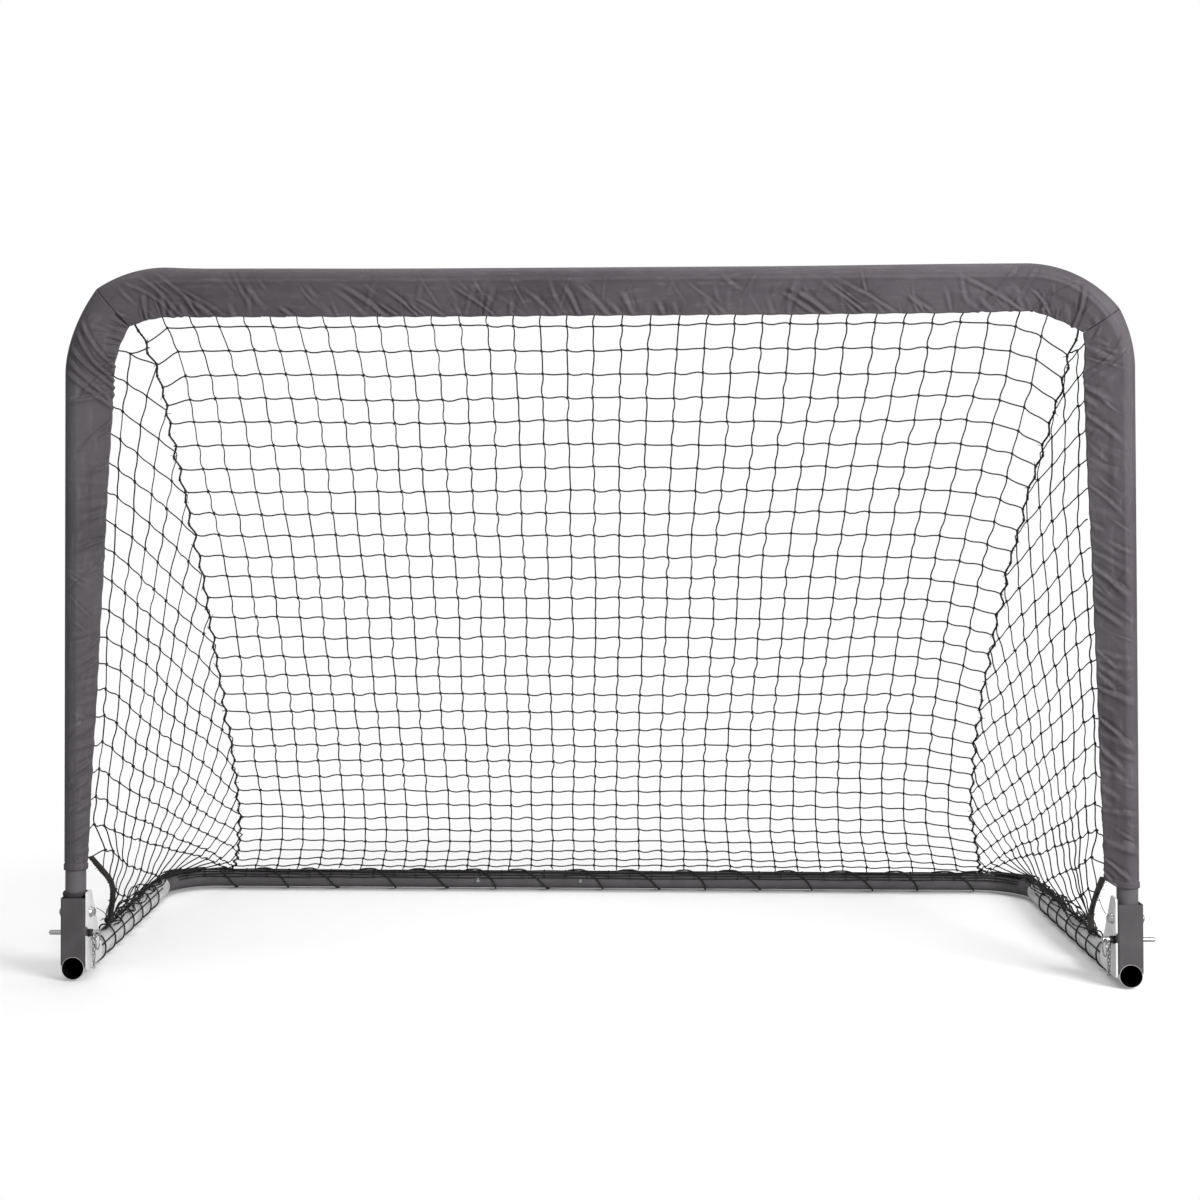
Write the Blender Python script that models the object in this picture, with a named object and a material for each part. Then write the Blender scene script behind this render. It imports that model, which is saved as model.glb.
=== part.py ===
"""Folding soccer goal: a sleeved steel arch hinged on a flat U of base tubes, with a laced net."""

import math

import bmesh
import bpy
import numpy as np
from mathutils import Matrix, Vector

# Driving dimensions in metres. +X is the goal's right, +Y its back, +Z up.
WIDTH = 1.80            # over the outer faces of the two foot boxes
HEIGHT = 1.20           # floor to the top of the crossbar sleeve
DEPTH = 0.80            # front of the post sleeves to the back of the rear bar
GAP = 0.0003            # clearance between pieces that touch

FRAME_OD = 0.035        # posts, crossbar and rear bar
FRAME_WALL = 0.0015
CORNER_RADIUS = 0.160   # centre line of the arch's upper corners
CROSSBAR_JOINT = 0.060  # straight run of a post tube past its corner
SPIGOT_LENGTH = 0.120

BASE_OD = 0.038         # zinc side tubes, which the rear bar plugs into
BASE_WALL = 0.0012
REAR_RADIUS = 0.100     # centre line of the rear bar's corners
PLUG_LENGTH = 0.070
REAR_JOINT_X = -0.135   # where the two halves of the rear bar meet
REAR_SPIGOT_LENGTH = 0.300
REAR_SCREW_STEP = 0.105  # from that joint to each of its two screws
REAR_SCREW_R = 0.0022
SCREW_HEAD_R = 0.0045
SCREW_HEAD_HEIGHT = 0.0028

LACING_DIA = 0.003
LACING_FLAT = 0.0003    # the lacing under the tubes is pressed flat by this much
LACING_LOOPS = 7
LACING_DRIFT = 0.85     # share of a turn's advance that it makes over the top of the tube
LACING_START = 0.125    # behind the front of the foot box
LACING_END = 0.057      # ahead of the rear bar's bend

BOX_WALL = 0.002
BOX_DEPTH = 0.042
BOX_CORNER = 0.004
BOX_TOP = 0.117         # above the base tube's centre line
BOX_BOTTOM = 0.004      # the cheeks straddle the base tube down to here

PIVOT_HEIGHT = 0.091    # above the base tube's centre line
PIN_DROP = 0.035        # from the pivot down to the locking pin
POST_END_DROP = 0.068   # from the pivot down to the end of the post tube
BOLT_DIA = 0.008
BOLT_HEAD_DIA = 0.014
BOLT_HEAD_HEIGHT = 0.0045
BOLT_CHAMFER = 0.0008
BOLT_STANDOUT = 0.0015  # of its thread past the nut
WASHER_DIA = 0.026
WASHER_THICKNESS = 0.0012
NUT_ACROSS_FLATS = 0.013
NUT_FLANGE_DIA = 0.0179
NUT_FLANGE = 0.0018
NUT_FLANGE_RIM = 0.0008
NUT_HEIGHT = 0.008
NUT_CHAMFER = 0.001

PLATE_THICKNESS = 0.003
PLATE_TOP = 0.127       # above the base tube's centre line
PLATE_TOP_WIDTH = 0.030
PLATE_FOOT_LENGTH = 0.104
PLATE_CORNER = 0.005
PLATE_HEEL_SLOPE = 0.014  # height of the chamfer at the plate's rear foot
WELD_RADIUS = 0.0027
WELD_START = 0.004      # behind the foot box, clear of its swing
WELD_END = 0.014        # ahead of the plate's rear end

PIN_DIA = 0.008
PIN_TIP = 0.024         # how far the pin stands out of the box
PIN_HEAD_DIA = 0.011
PIN_HEAD_LENGTH = 0.011
PIN_HEAD_STANDOFF = 0.0025  # from the bush to the head
PIN_CHAMFER = 0.002
RING_SEAT = 0.0058      # from the head's near face to the ring's hole
BUSH_OD = 0.012
BUSH_OUTER_LIP = 0.001
BUSH_INNER_LIP = 0.005
BUSH_CHAMFER = 0.0005
RING_DIA = 0.028        # centre line of the pull ring
RING_WIRE = 0.0025
CHAIN_WIRE = 0.0012
CHAIN_LINK_INNER = 0.0058
CHAIN_LINK_WIDTH = 0.0040
CHAIN_LINKS = 8         # in each hanging strand
CHAIN_BITE = 0.0002     # links hang in each other, fused this deep where their wires meet
LUG_THICKNESS = 0.0010
LUG_WIDTH = 0.0046
LUG_HOLE_DIA = 0.0022
LUG_HOLE_DROP = 0.0085  # below the pin's axis
LUG_TIP = 0.0022        # below its hole
LUG_CORNER = 0.0015
LUG_INSET = 0.0012      # from the end of the bush
LUG_ROOT = 0.0007       # sunk into the round it stands on

SLEEVE_THICKNESS = 0.003
SLEEVE_FLAP = 0.0592    # crossbar axis to the sleeve's lower edge
SLEEVE_HEM = 0.0019     # half the thickness of the flap's edge
SLEEVE_END_LEFT = 0.185
SLEEVE_END_RIGHT = 0.165
FLAP_END_LEFT = 0.0208  # post axis to the sleeve's inner edge at its lower end
FLAP_END_RIGHT = 0.0360
FLAP_CURVE_LEFT = 1.3   # above 1 the flap widens late, towards the corner
FLAP_CURVE_RIGHT = 1.0
MITRE_PEAK = {-1: 0.013, 1: 0.006}  # how far the cloth stands off the corner at its seam, by side
MITRE_NOTCH = {-1: 0.011, 1: 0.018}  # how much shorter the flap is there
MITRE_REACH = 40        # degrees each way over which both fade
SLEEVE_FOLD = 0.0012    # depth of the fabric's main folds
POST_FOLD_TURN = 2.2    # radians from one station's fold to the next
BAR_FOLD_TURN = 2.6
HEM_BAND_THICKNESS = 0.003
HEM_BAND_HEIGHT = 0.009

NET_TOP_BACK = 0.006    # the net hangs this far behind the post axis at the top
NET_SAG = 0.115
NET_STRAND = 0.0040     # width of a strand of the lattice
NET_THICKNESS = 0.0025
NET_COLUMNS = 11
NET_ROWS = 8
SEAM_DIA = 0.004
SEAM_TOP_INSET = 0.0917  # from the post axis
SEAM_FOOT_INSET = 0.1237
SEAM_BOW = 0.055
SIDE_NET_END = 0.230    # height where the side net's front edge leaves the post
SIDE_NET_SKIRT = 0.083  # height of the lowest row but one, under the folded arch
SIDE_NET_SKIRT_INSET = 0.0787  # of that row, from the post axis
SIDE_NET_CORNER = (0.0457, 0.055)  # inset and height of its front corner, inside the arch's swing
NET_REST = 0.0009       # from the lacing to the net's underside
NET_FOOT_SLOPE = (0, 0.4575, 0.889)  # the way from the rear bar's axis to where the net lies on it
NET_CLEARANCE = 0.0012  # from the net to the path of the folding arch

TUBE_SIDES = 20
CORNER_STEPS = 8
REAR_CORNER_STEPS = 6
SMALL_SIDES = 16
NUT_SIDES = 18
RING_STEPS = 18
WINDING_STEPS = 12      # in each turn of the lacing

# Places worked out from the driving dimensions.
FACET = math.cos(math.pi / TUBE_SIDES)
FRAME_R = FRAME_OD / 2
BASE_R = BASE_OD / 2
SLEEVE_R = FRAME_R + GAP + SLEEVE_THICKNESS
SLEEVE_SIDES = 16
SLEEVE_FACET = math.cos(math.pi / SLEEVE_SIDES)
BASE_Z = BASE_R + GAP + LACING_DIA - LACING_FLAT
CROSSBAR_Z = HEIGHT - SLEEVE_R * SLEEVE_FACET
BOX_INNER = BASE_OD + 2 * GAP
BOX_WIDTH = BOX_INNER + 2 * BOX_WALL
POST_X = (WIDTH - BOX_WIDTH) / 2
POST_Y = -DEPTH / 2 + SLEEVE_R * SLEEVE_FACET
REAR_Y = DEPTH / 2 - FRAME_R * FACET
FRONT_Y = POST_Y - FRAME_R - GAP - BOX_WALL
PIVOT_Z = BASE_Z + PIVOT_HEIGHT
PIN_Z = PIVOT_Z - PIN_DROP
JOINT_X = POST_X - CORNER_RADIUS - CROSSBAR_JOINT
CHEEK_X = BOX_WIDTH / 2
PLATE_X = CHEEK_X + GAP + PLATE_THICKNESS
CORNER_Z = CROSSBAR_Z - CORNER_RADIUS
REAR_BEND_Y = REAR_Y - REAR_RADIUS
LACING_PITCH = (REAR_BEND_Y - LACING_END - FRONT_Y - LACING_START) / LACING_LOOPS
SEAM_TOP_X = POST_X - SEAM_TOP_INSET
SEAM_FOOT_X = POST_X - SEAM_FOOT_INSET
CHAIN_PITCH = CHAIN_LINK_INNER + CHAIN_BITE
STRAND_STEP = CHAIN_LINK_INNER - CHAIN_WIRE + 2 * CHAIN_BITE

COLOURS = {
    "powder_coat": ((0.090, 0.085, 0.088), 0.55, 0.0),
    "zinc": ((0.62, 0.62, 0.63), 0.38, 1.0),
    "steel_dark": ((0.075, 0.075, 0.080), 0.45, 0.0),
    "sleeve_fabric": ((0.105, 0.090, 0.100), 0.85, 0.0),
    "net_cord": ((0.020, 0.020, 0.022), 0.80, 0.0),
    "black_plastic": ((0.015, 0.015, 0.016), 0.50, 0.0),
}


def clear_scene():
    for thing in list(bpy.data.objects):
        bpy.data.objects.remove(thing, do_unlink=True)


def material(name):
    found = bpy.data.materials.get(name)
    if found:
        return found
    colour, roughness, metallic = COLOURS[name]
    made = bpy.data.materials.new(name)
    made.use_nodes = True
    shader = made.node_tree.nodes["Principled BSDF"]
    shader.inputs["Base Color"].default_value = (*colour, 1.0)
    shader.inputs["Roughness"].default_value = roughness
    shader.inputs["Metallic"].default_value = metallic
    return made


def finish_mesh(name, bm, finish, parent=None, smooth=True, angle=40):
    """Turn a bmesh into a named object with outward faces and one material."""
    bmesh.ops.recalc_face_normals(bm, faces=bm.faces)
    mesh = bpy.data.meshes.new(name)
    bm.to_mesh(mesh)
    bm.free()
    piece = bpy.data.objects.new(name, mesh)
    bpy.context.collection.objects.link(piece)
    mesh.materials.append(material(finish))
    if smooth:
        mesh.shade_smooth()
        mesh.set_sharp_from_angle(angle=math.radians(angle))
    if parent:
        hang_from(piece, parent)
    return piece


def hang_from(piece, parent):
    """Parent without moving the piece, whose mesh is written in world places."""
    piece.parent = parent
    piece.matrix_parent_inverse = Matrix.Translation(-parent.location)


def axis_empty(name, place, parent=None):
    empty = bpy.data.objects.new(name, None)
    empty.empty_display_size = 0.05
    bpy.context.collection.objects.link(empty)
    empty.location = place
    if parent:
        empty.parent = parent
        empty.matrix_parent_inverse = Matrix.Translation(-parent.location)
    return empty


def ring_frames(points, normal):
    """A centre and two cross axes at each point of a path that lies square to the normal."""
    frames = []
    for k, point in enumerate(points):
        before = points[max(k - 1, 0)]
        after = points[min(k + 1, len(points) - 1)]
        along = (after - before).normalized()
        frames.append((point, along.cross(normal).normalized(), normal))
    return frames


def swept_ring(bm, frame, radius, sides):
    centre, across, normal = frame
    ring = []
    for k in range(sides):
        angle = 2 * math.pi * (k + 0.5) / sides
        offset = across * (math.cos(angle) * radius) + normal * (math.sin(angle) * radius)
        ring.append(bm.verts.new(centre + offset))
    return ring


def bridge(bm, ring_a, ring_b):
    count = len(ring_a)
    for k in range(count):
        after = (k + 1) % count
        bm.faces.new((ring_a[k], ring_a[after], ring_b[after], ring_b[k]))


def swept_tube(bm, points, normal, outer, inner, sides):
    """A tube along a flat path; a bore radius of 0 makes a rod."""
    frames = ring_frames(points, normal)
    skins = []
    for radius in ((outer, inner) if inner else (outer,)):
        rings = [swept_ring(bm, frame, radius, sides) for frame in frames]
        for ring_a, ring_b in zip(rings, rings[1:]):
            bridge(bm, ring_a, ring_b)
        skins.append(rings)
    if inner:
        bridge(bm, skins[0][0], skins[1][0])
        bridge(bm, skins[0][-1], skins[1][-1])
    else:
        bm.faces.new(skins[0][0])
        bm.faces.new(list(reversed(skins[0][-1])))


def tube(name, points, normal, outer, inner, finish, parent=None, sides=TUBE_SIDES):
    bm = bmesh.new()
    swept_tube(bm, [Vector(p) for p in points], Vector(normal), outer, inner, sides)
    return finish_mesh(name, bm, finish, parent)


def bend_points(centre, radius, start, stop, steps, plane):
    """Points of an arc in the XZ or XY plane, angles in degrees."""
    points = []
    for k in range(steps + 1):
        angle = math.radians(start + (stop - start) * k / steps)
        u, v = radius * math.cos(angle), radius * math.sin(angle)
        if plane == "XZ":
            points.append(Vector((centre[0] + u, centre[1], centre[2] + v)))
        else:
            points.append(Vector((centre[0] + u, centre[1] + v, centre[2])))
    return points


def turned(bm, profile, origin, axis, sides):
    """Revolve a closed (height, radius) profile about an axis; radius 0 closes a pole."""
    axis = Vector(axis).normalized()
    across = axis.orthogonal().normalized()
    if abs(axis.x) > 0.9:
        across = Vector((0, 1, 0))
    other = axis.cross(across)
    rings = []
    for height, radius in profile:
        centre = Vector(origin) + axis * height
        if radius == 0:
            rings.append([bm.verts.new(centre)])
            continue
        ring = []
        for k in range(sides):
            angle = 2 * math.pi * (k + 0.5) / sides
            ring.append(bm.verts.new(centre + radius * (across * math.cos(angle) + other * math.sin(angle))))
        rings.append(ring)
    closed = profile[0][1] > 0
    pairs = list(zip(rings, rings[1:] + rings[:1])) if closed else list(zip(rings, rings[1:]))
    for ring_a, ring_b in pairs:
        if len(ring_a) == 1 and len(ring_b) == 1:
            continue
        for k in range(sides):
            after = (k + 1) % sides
            if len(ring_a) == 1:
                bm.faces.new((ring_a[0], ring_b[after], ring_b[k]))
            elif len(ring_b) == 1:
                bm.faces.new((ring_a[k], ring_a[after], ring_b[0]))
            else:
                bm.faces.new((ring_a[k], ring_a[after], ring_b[after], ring_b[k]))


def turned_piece(name, profile, origin, axis, finish, parent=None, sides=SMALL_SIDES):
    bm = bmesh.new()
    turned(bm, profile, origin, axis, sides)
    return finish_mesh(name, bm, finish, parent)


def cylinder_cutter(name, centre, axis, radius, length, sides=SMALL_SIDES):
    half = length / 2
    profile = [(-half, 0), (-half, radius), (half, radius), (half, 0)]
    return as_cutter(turned_piece(name, profile, centre, axis, "zinc", sides=sides))


def as_cutter(piece):
    piece.hide_render = True
    piece.display_type = "WIRE"
    return piece


def cut(piece, cutter, operation="DIFFERENCE"):
    boolean = piece.modifiers.new(operation.lower(), "BOOLEAN")
    boolean.operation = operation
    boolean.solver = "EXACT"
    boolean.object = cutter


def extruded(bm, outline, depth_axis, low, high):
    """A closed outline of points in a plane, extruded along the third axis."""
    order = {"X": (1, 2, 0), "Z": (0, 1, 2)}[depth_axis]
    rings = []
    for level in (low, high):
        ring = []
        for u, v in outline:
            place = [0.0, 0.0, 0.0]
            place[order[0]], place[order[1]], place[order[2]] = u, v, level
            ring.append(bm.verts.new(place))
        rings.append(ring)
    bridge(bm, rings[0], rings[1])
    bm.faces.new(rings[0])
    bm.faces.new(list(reversed(rings[1])))


def rounded(corners, radius, steps=3):
    """An outline whose listed corners are rounded by arcs."""
    outline = []
    count = len(corners)
    for k in range(count):
        corner = Vector(corners[k])
        to_last = (Vector(corners[k - 1]) - corner).normalized()
        to_next = (Vector(corners[(k + 1) % count]) - corner).normalized()
        half = to_last.angle(to_next) / 2
        reach = radius / math.tan(half)
        centre = corner + (to_last + to_next).normalized() * (radius / math.sin(half))
        first = corner + to_last * reach - centre
        turn = math.pi - 2 * half
        sense = 1 if to_last.x * to_next.y - to_last.y * to_next.x < 0 else -1
        for step in range(steps + 1):
            angle = sense * turn * step / steps
            spin = Matrix.Rotation(angle, 2)
            outline.append(tuple(centre + spin @ first))
    return outline


def post_path(side):
    """Centre line of a post: up from its lower end, round the corner and in to the joint."""
    corner = (side * (POST_X - CORNER_RADIUS), POST_Y, CORNER_Z)
    angles = (0, 90) if side > 0 else (180, 90)
    arc = bend_points(corner, CORNER_RADIUS, angles[0], angles[1], CORNER_STEPS, "XZ")
    foot = Vector((side * POST_X, POST_Y, PIVOT_Z - POST_END_DROP))
    joint = Vector((side * (JOINT_X + GAP / 2), POST_Y, CROSSBAR_Z))
    return [foot, *arc, joint]


def make_arch(frame):
    """Posts, crossbar and the spigots that join them."""
    inner = FRAME_R - FRAME_WALL
    across = (0, 1, 0)
    button = 0.004
    button_x = JOINT_X - 0.030
    for side, word in ((-1, "left"), (1, "right")):
        post = tube(f"{word}_post_tube", post_path(side), across, FRAME_R, inner, "steel_dark", frame)
        pivot_hole = (side * POST_X, POST_Y, PIVOT_Z)
        pin_hole = (side * POST_X, POST_Y, PIN_Z)
        cut(post, cylinder_cutter(f"cut_{word}_post_bolt", pivot_hole, (1, 0, 0), BOLT_DIA / 2 + GAP, 0.06))
        cut(post, cylinder_cutter(f"cut_{word}_post_bush", pin_hole, (1, 0, 0), BUSH_OD / 2 + GAP, 0.06))
        reach = SPIGOT_LENGTH / 2
        ends = [(side * (JOINT_X - reach), POST_Y, CROSSBAR_Z), (side * (JOINT_X + reach), POST_Y, CROSSBAR_Z)]
        spigot_r = inner - GAP / FACET
        spigot = tube(f"{word}_joint_spigot", ends, across, spigot_r, spigot_r - FRAME_WALL, "zinc", frame)
        seat = (side * button_x, POST_Y, CROSSBAR_Z)
        stem = [(spigot_r - 0.8 * FRAME_WALL, 0), (spigot_r - 0.8 * FRAME_WALL, button)]
        crown = [(FRAME_R - 0.0004, button), (FRAME_R, 0.7 * button), (FRAME_R, 0)]
        stud = turned_piece(f"cut_{word}_button", stem + crown, seat, (0, 1, 0), "zinc", sides=12)
        cut(spigot, as_cutter(stud), "UNION")
    half = JOINT_X - GAP / 2
    bar_ends = [(-half, POST_Y, CROSSBAR_Z), (half, POST_Y, CROSSBAR_Z)]
    crossbar = tube("crossbar_tube", bar_ends, across, FRAME_R, inner, "steel_dark", frame)
    for side, word in ((-1, "left"), (1, "right")):
        seat = (side * button_x, POST_Y + FRAME_R, CROSSBAR_Z)
        cut(crossbar, cylinder_cutter(f"cut_{word}_button_hole", seat, (0, 1, 0), button + GAP, 0.01, 12))


def u_channel_outline(side):
    """Plan outline of a foot box: a channel open to the back, with rounded front corners."""
    centre = side * POST_X
    half = CHEEK_X
    back = FRONT_Y + BOX_DEPTH
    outer, inner = [], []
    for step in range(5):
        angle = math.radians(180 + 90 * step / 4)
        x, y = BOX_CORNER * math.cos(angle), BOX_CORNER * math.sin(angle)
        outer.append((centre - half + BOX_CORNER + x, FRONT_Y + BOX_CORNER + y))
        bore = BOX_CORNER - BOX_WALL
        x, y = bore * math.cos(angle), bore * math.sin(angle)
        inner.append((centre - half + BOX_CORNER + x, FRONT_Y + BOX_CORNER + y))
    mirrored_outer = [(2 * centre - x, y) for x, y in reversed(outer)]
    mirrored_inner = [(2 * centre - x, y) for x, y in reversed(inner)]
    outline = [(centre - half, back), *outer, *mirrored_outer, (centre + half, back)]
    outline += [(centre + half - BOX_WALL, back), *reversed(mirrored_inner), *reversed(inner)]
    outline.append((centre - half + BOX_WALL, back))
    return outline


def make_foot(side, word, frame):
    """The foot box with its pivot bolt, washer, nut and locking-pin bush."""
    bm = bmesh.new()
    extruded(bm, u_channel_outline(side), "Z", BASE_Z + BOX_BOTTOM, BASE_Z + BOX_TOP)
    box = finish_mesh(f"{word}_foot_box", bm, "powder_coat", frame)
    tube_end = (side * POST_X, FRONT_Y, BASE_Z)
    arc = cylinder_cutter(f"cut_{word}_box_arc", tube_end, (0, 1, 0), BASE_R + GAP, 0.008, 32)
    cut(box, arc)
    pivot = (side * POST_X, POST_Y, PIVOT_Z)
    pin = (side * POST_X, POST_Y, PIN_Z)
    cut(box, cylinder_cutter(f"cut_{word}_box_bolt", pivot, (1, 0, 0), BOLT_DIA / 2 + GAP, 0.06))
    cut(box, cylinder_cutter(f"cut_{word}_box_bush", pin, (1, 0, 0), BUSH_OD / 2 + GAP, 0.06))

    outward = (side, 0, 0)
    washer_face = CHEEK_X + GAP
    bore = BOLT_DIA / 2 + GAP
    washer = [(washer_face, bore), (washer_face, WASHER_DIA / 2)]
    washer += [(washer_face + WASHER_THICKNESS, WASHER_DIA / 2), (washer_face + WASHER_THICKNESS, bore)]
    turned_piece(f"{word}_bolt_washer", washer, pivot, outward, "black_plastic", frame, sides=20)

    head = washer_face + WASHER_THICKNESS + GAP
    nut_face = -(PLATE_X + GAP)
    shank_end = nut_face - NUT_HEIGHT - BOLT_STANDOUT
    shank = BOLT_DIA / 2
    bolt = [(shank_end, 0), (shank_end, shank - BOLT_CHAMFER), (shank_end + BOLT_CHAMFER, shank), (head, shank)]
    bolt += [(head, BOLT_HEAD_DIA / 2), (head + 0.4 * BOLT_HEAD_HEIGHT, BOLT_HEAD_DIA / 2)]
    bolt += [(head + 0.8 * BOLT_HEAD_HEIGHT, 0.36 * BOLT_HEAD_DIA), (head + BOLT_HEAD_HEIGHT, 0.22 * BOLT_HEAD_DIA)]
    bolt += [(head + BOLT_HEAD_HEIGHT, 0)]
    turned_piece(f"{word}_hinge_bolt", bolt, pivot, outward, "zinc", frame)

    corner_r = NUT_ACROSS_FLATS / math.sqrt(3)
    skirt = [(nut_face, bore), (nut_face, NUT_FLANGE_DIA / 2), (nut_face - NUT_FLANGE_RIM, NUT_FLANGE_DIA / 2)]
    skirt += [(nut_face - 2 * NUT_FLANGE, corner_r), (nut_face - 2 * NUT_FLANGE, bore)]
    nut = turned_piece(f"{word}_hinge_nut", skirt, pivot, outward, "zinc", frame, sides=NUT_SIDES)
    top = nut_face - NUT_HEIGHT
    hexagon = [(nut_face - NUT_FLANGE, bore), (nut_face - NUT_FLANGE, corner_r), (top + NUT_CHAMFER, corner_r)]
    hexagon += [(top, 0.86 * corner_r), (top, bore)]
    hexagon_piece = turned_piece(f"cut_{word}_nut_hexagon", hexagon, pivot, outward, "zinc", sides=6)
    cut(nut, as_cutter(hexagon_piece), "UNION")
    cut(nut, cylinder_cutter(f"cut_{word}_nut_bore", pivot, (1, 0, 0), bore, 0.2, NUT_SIDES))

    lip_out = CHEEK_X + BUSH_OUTER_LIP
    lip_in = -(PLATE_X + BUSH_INNER_LIP)
    pin_bore = PIN_DIA / 2 + GAP
    bush_r = BUSH_OD / 2
    bush_profile = [(lip_out, pin_bore), (lip_out, bush_r - BUSH_CHAMFER), (lip_out - BUSH_CHAMFER, bush_r)]
    bush_profile += [(lip_in + BUSH_CHAMFER, bush_r), (lip_in, bush_r - BUSH_CHAMFER), (lip_in, pin_bore)]
    bush = turned_piece(f"{word}_pin_bush", bush_profile, pin, outward, "black_plastic", frame, sides=20)
    lug = lug_solid(f"cut_{word}_bush_lug", side, lip_in + LUG_INSET, bush_r - LUG_ROOT)
    cut(bush, lug, "UNION")
    cut(bush, lug_hole(f"cut_{word}_bush_lug_hole", side, lip_in + LUG_INSET))


def lug_solid(name, side, along, root):
    """A small ear below the pin, which a chain link hooks into."""
    x = side * (POST_X + along)
    half = LUG_WIDTH / 2
    low, high = PIN_Z - LUG_HOLE_DROP - LUG_TIP, PIN_Z - root
    front, rear = POST_Y - half, POST_Y + half
    outline = [(front, high), (front, low + LUG_CORNER), (front + LUG_CORNER, low)]
    outline += [(rear - LUG_CORNER, low), (rear, low + LUG_CORNER), (rear, high)]
    bm = bmesh.new()
    extruded(bm, outline, "X", x - LUG_THICKNESS / 2, x + LUG_THICKNESS / 2)
    return as_cutter(finish_mesh(name, bm, "zinc"))


def lug_hole(name, side, along):
    centre = (side * (POST_X + along), POST_Y, PIN_Z - LUG_HOLE_DROP)
    return cylinder_cutter(name, centre, (1, 0, 0), LUG_HOLE_DIA / 2, 3 * LUG_THICKNESS, 10)


def make_plate(side, word, base):
    """Hinge plate welded to the side tube, with the pivot hole and the pin's slot."""
    low = BASE_Z - 0.004
    corners = [
        (FRONT_Y, low),
        (FRONT_Y + PLATE_FOOT_LENGTH - 0.004, low),
        (FRONT_Y + PLATE_FOOT_LENGTH, low + PLATE_HEEL_SLOPE),
        (FRONT_Y + PLATE_TOP_WIDTH, BASE_Z + PLATE_TOP),
        (FRONT_Y, BASE_Z + PLATE_TOP),
    ]
    outer_face = side * (POST_X - CHEEK_X - GAP)
    inner_face = side * (POST_X - PLATE_X)
    bm = bmesh.new()
    extruded(bm, rounded(corners, PLATE_CORNER), "X", inner_face, outer_face)
    plate = finish_mesh(f"{word}_hinge_plate", bm, "zinc", base)
    pivot = (inner_face, POST_Y, PIVOT_Z)
    cut(plate, cylinder_cutter(f"cut_{word}_plate_bolt", pivot, (1, 0, 0), BOLT_DIA / 2 + GAP, 0.02))

    half = BUSH_OD / 2 + 2 * GAP
    outline = []
    reach = math.radians(45)
    steps = 8
    for radius, way in ((PIN_DROP + half, 1), (PIN_DROP - half, -1)):
        angles = [reach * k / steps for k in range(steps + 1)][::way]
        for angle in angles:
            outline.append((POST_Y - radius * math.sin(angle), PIVOT_Z - radius * math.cos(angle)))
    for k in range(1, steps):
        angle = math.pi * k / steps
        outline.append((POST_Y + half * math.sin(angle), PIN_Z + half * math.cos(angle)))
    bm = bmesh.new()
    extruded(bm, outline, "X", side * POST_X - 0.035, side * POST_X + 0.035)
    cut(plate, as_cutter(finish_mesh(f"cut_{word}_plate_slot", bm, "zinc")))

    weld_x = side * (POST_X - BASE_R - GAP - WELD_RADIUS)
    weld_z = BASE_Z - 0.0005
    weld_from = FRONT_Y + BOX_DEPTH + WELD_START
    weld_ends = [(weld_x, weld_from, weld_z), (weld_x, FRONT_Y + PLATE_FOOT_LENGTH - WELD_END, weld_z)]
    bead = tube(f"cut_{word}_weld", weld_ends, (0, 0, 1), WELD_RADIUS, 0, "zinc", sides=8)
    cut(plate, as_cutter(bead), "UNION")


def make_base(base):
    """Zinc side tubes, and the two dark halves of the rear bar that plug into them."""
    up = (0, 0, 1)
    inner = FRAME_R - FRAME_WALL
    for side, word in ((-1, "left"), (1, "right")):
        x = side * POST_X
        ends = [(x, FRONT_Y, BASE_Z), (x, REAR_BEND_Y, BASE_Z)]
        tube(f"{word}_side_tube", ends, up, BASE_R, BASE_R - BASE_WALL, "zinc", base)
        make_plate(side, word, base)
        angles = (0, 90) if side > 0 else (180, 90)
        corner = (side * (POST_X - REAR_RADIUS), REAR_BEND_Y, BASE_Z)
        arc = bend_points(corner, REAR_RADIUS, angles[0], angles[1], REAR_CORNER_STEPS, "XY")
        start = Vector((x, REAR_BEND_Y - PLUG_LENGTH, BASE_Z))
        joint = Vector((REAR_JOINT_X + side * GAP / 2, REAR_Y, BASE_Z))
        half = tube(f"{word}_rear_tube", [start, *arc, joint], up, FRAME_R, inner, "powder_coat", base)
        seat = (REAR_JOINT_X + side * REAR_SCREW_STEP, REAR_Y - FRAME_R, BASE_Z)
        cut(half, cylinder_cutter(f"cut_{word}_rear_screw", seat, (0, 1, 0), REAR_SCREW_R + GAP, 0.02, 12))

    spigot_r = inner - GAP / FACET
    reach = REAR_SPIGOT_LENGTH / 2
    ends = [(REAR_JOINT_X - reach, REAR_Y, BASE_Z), (REAR_JOINT_X + reach, REAR_Y, BASE_Z)]
    tube("rear_joint_spigot", ends, up, spigot_r, spigot_r - FRAME_WALL, "zinc", base)
    face = -(FRAME_R + GAP)
    tip = -(spigot_r + GAP)
    brow, crown = face - 0.35 * SCREW_HEAD_HEIGHT, face - 0.85 * SCREW_HEAD_HEIGHT
    for side, word in ((-1, "left"), (1, "right")):
        seat = (REAR_JOINT_X + side * REAR_SCREW_STEP, REAR_Y, BASE_Z)
        screw = [(tip, 0), (tip, REAR_SCREW_R), (face, REAR_SCREW_R), (face, SCREW_HEAD_R), (brow, SCREW_HEAD_R)]
        screw += [(crown, 0.65 * SCREW_HEAD_R), (face - SCREW_HEAD_HEIGHT, 0)]
        turned_piece(f"{word}_rear_screw", screw, seat, (0, 1, 0), "zinc", base, sides=12)


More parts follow.
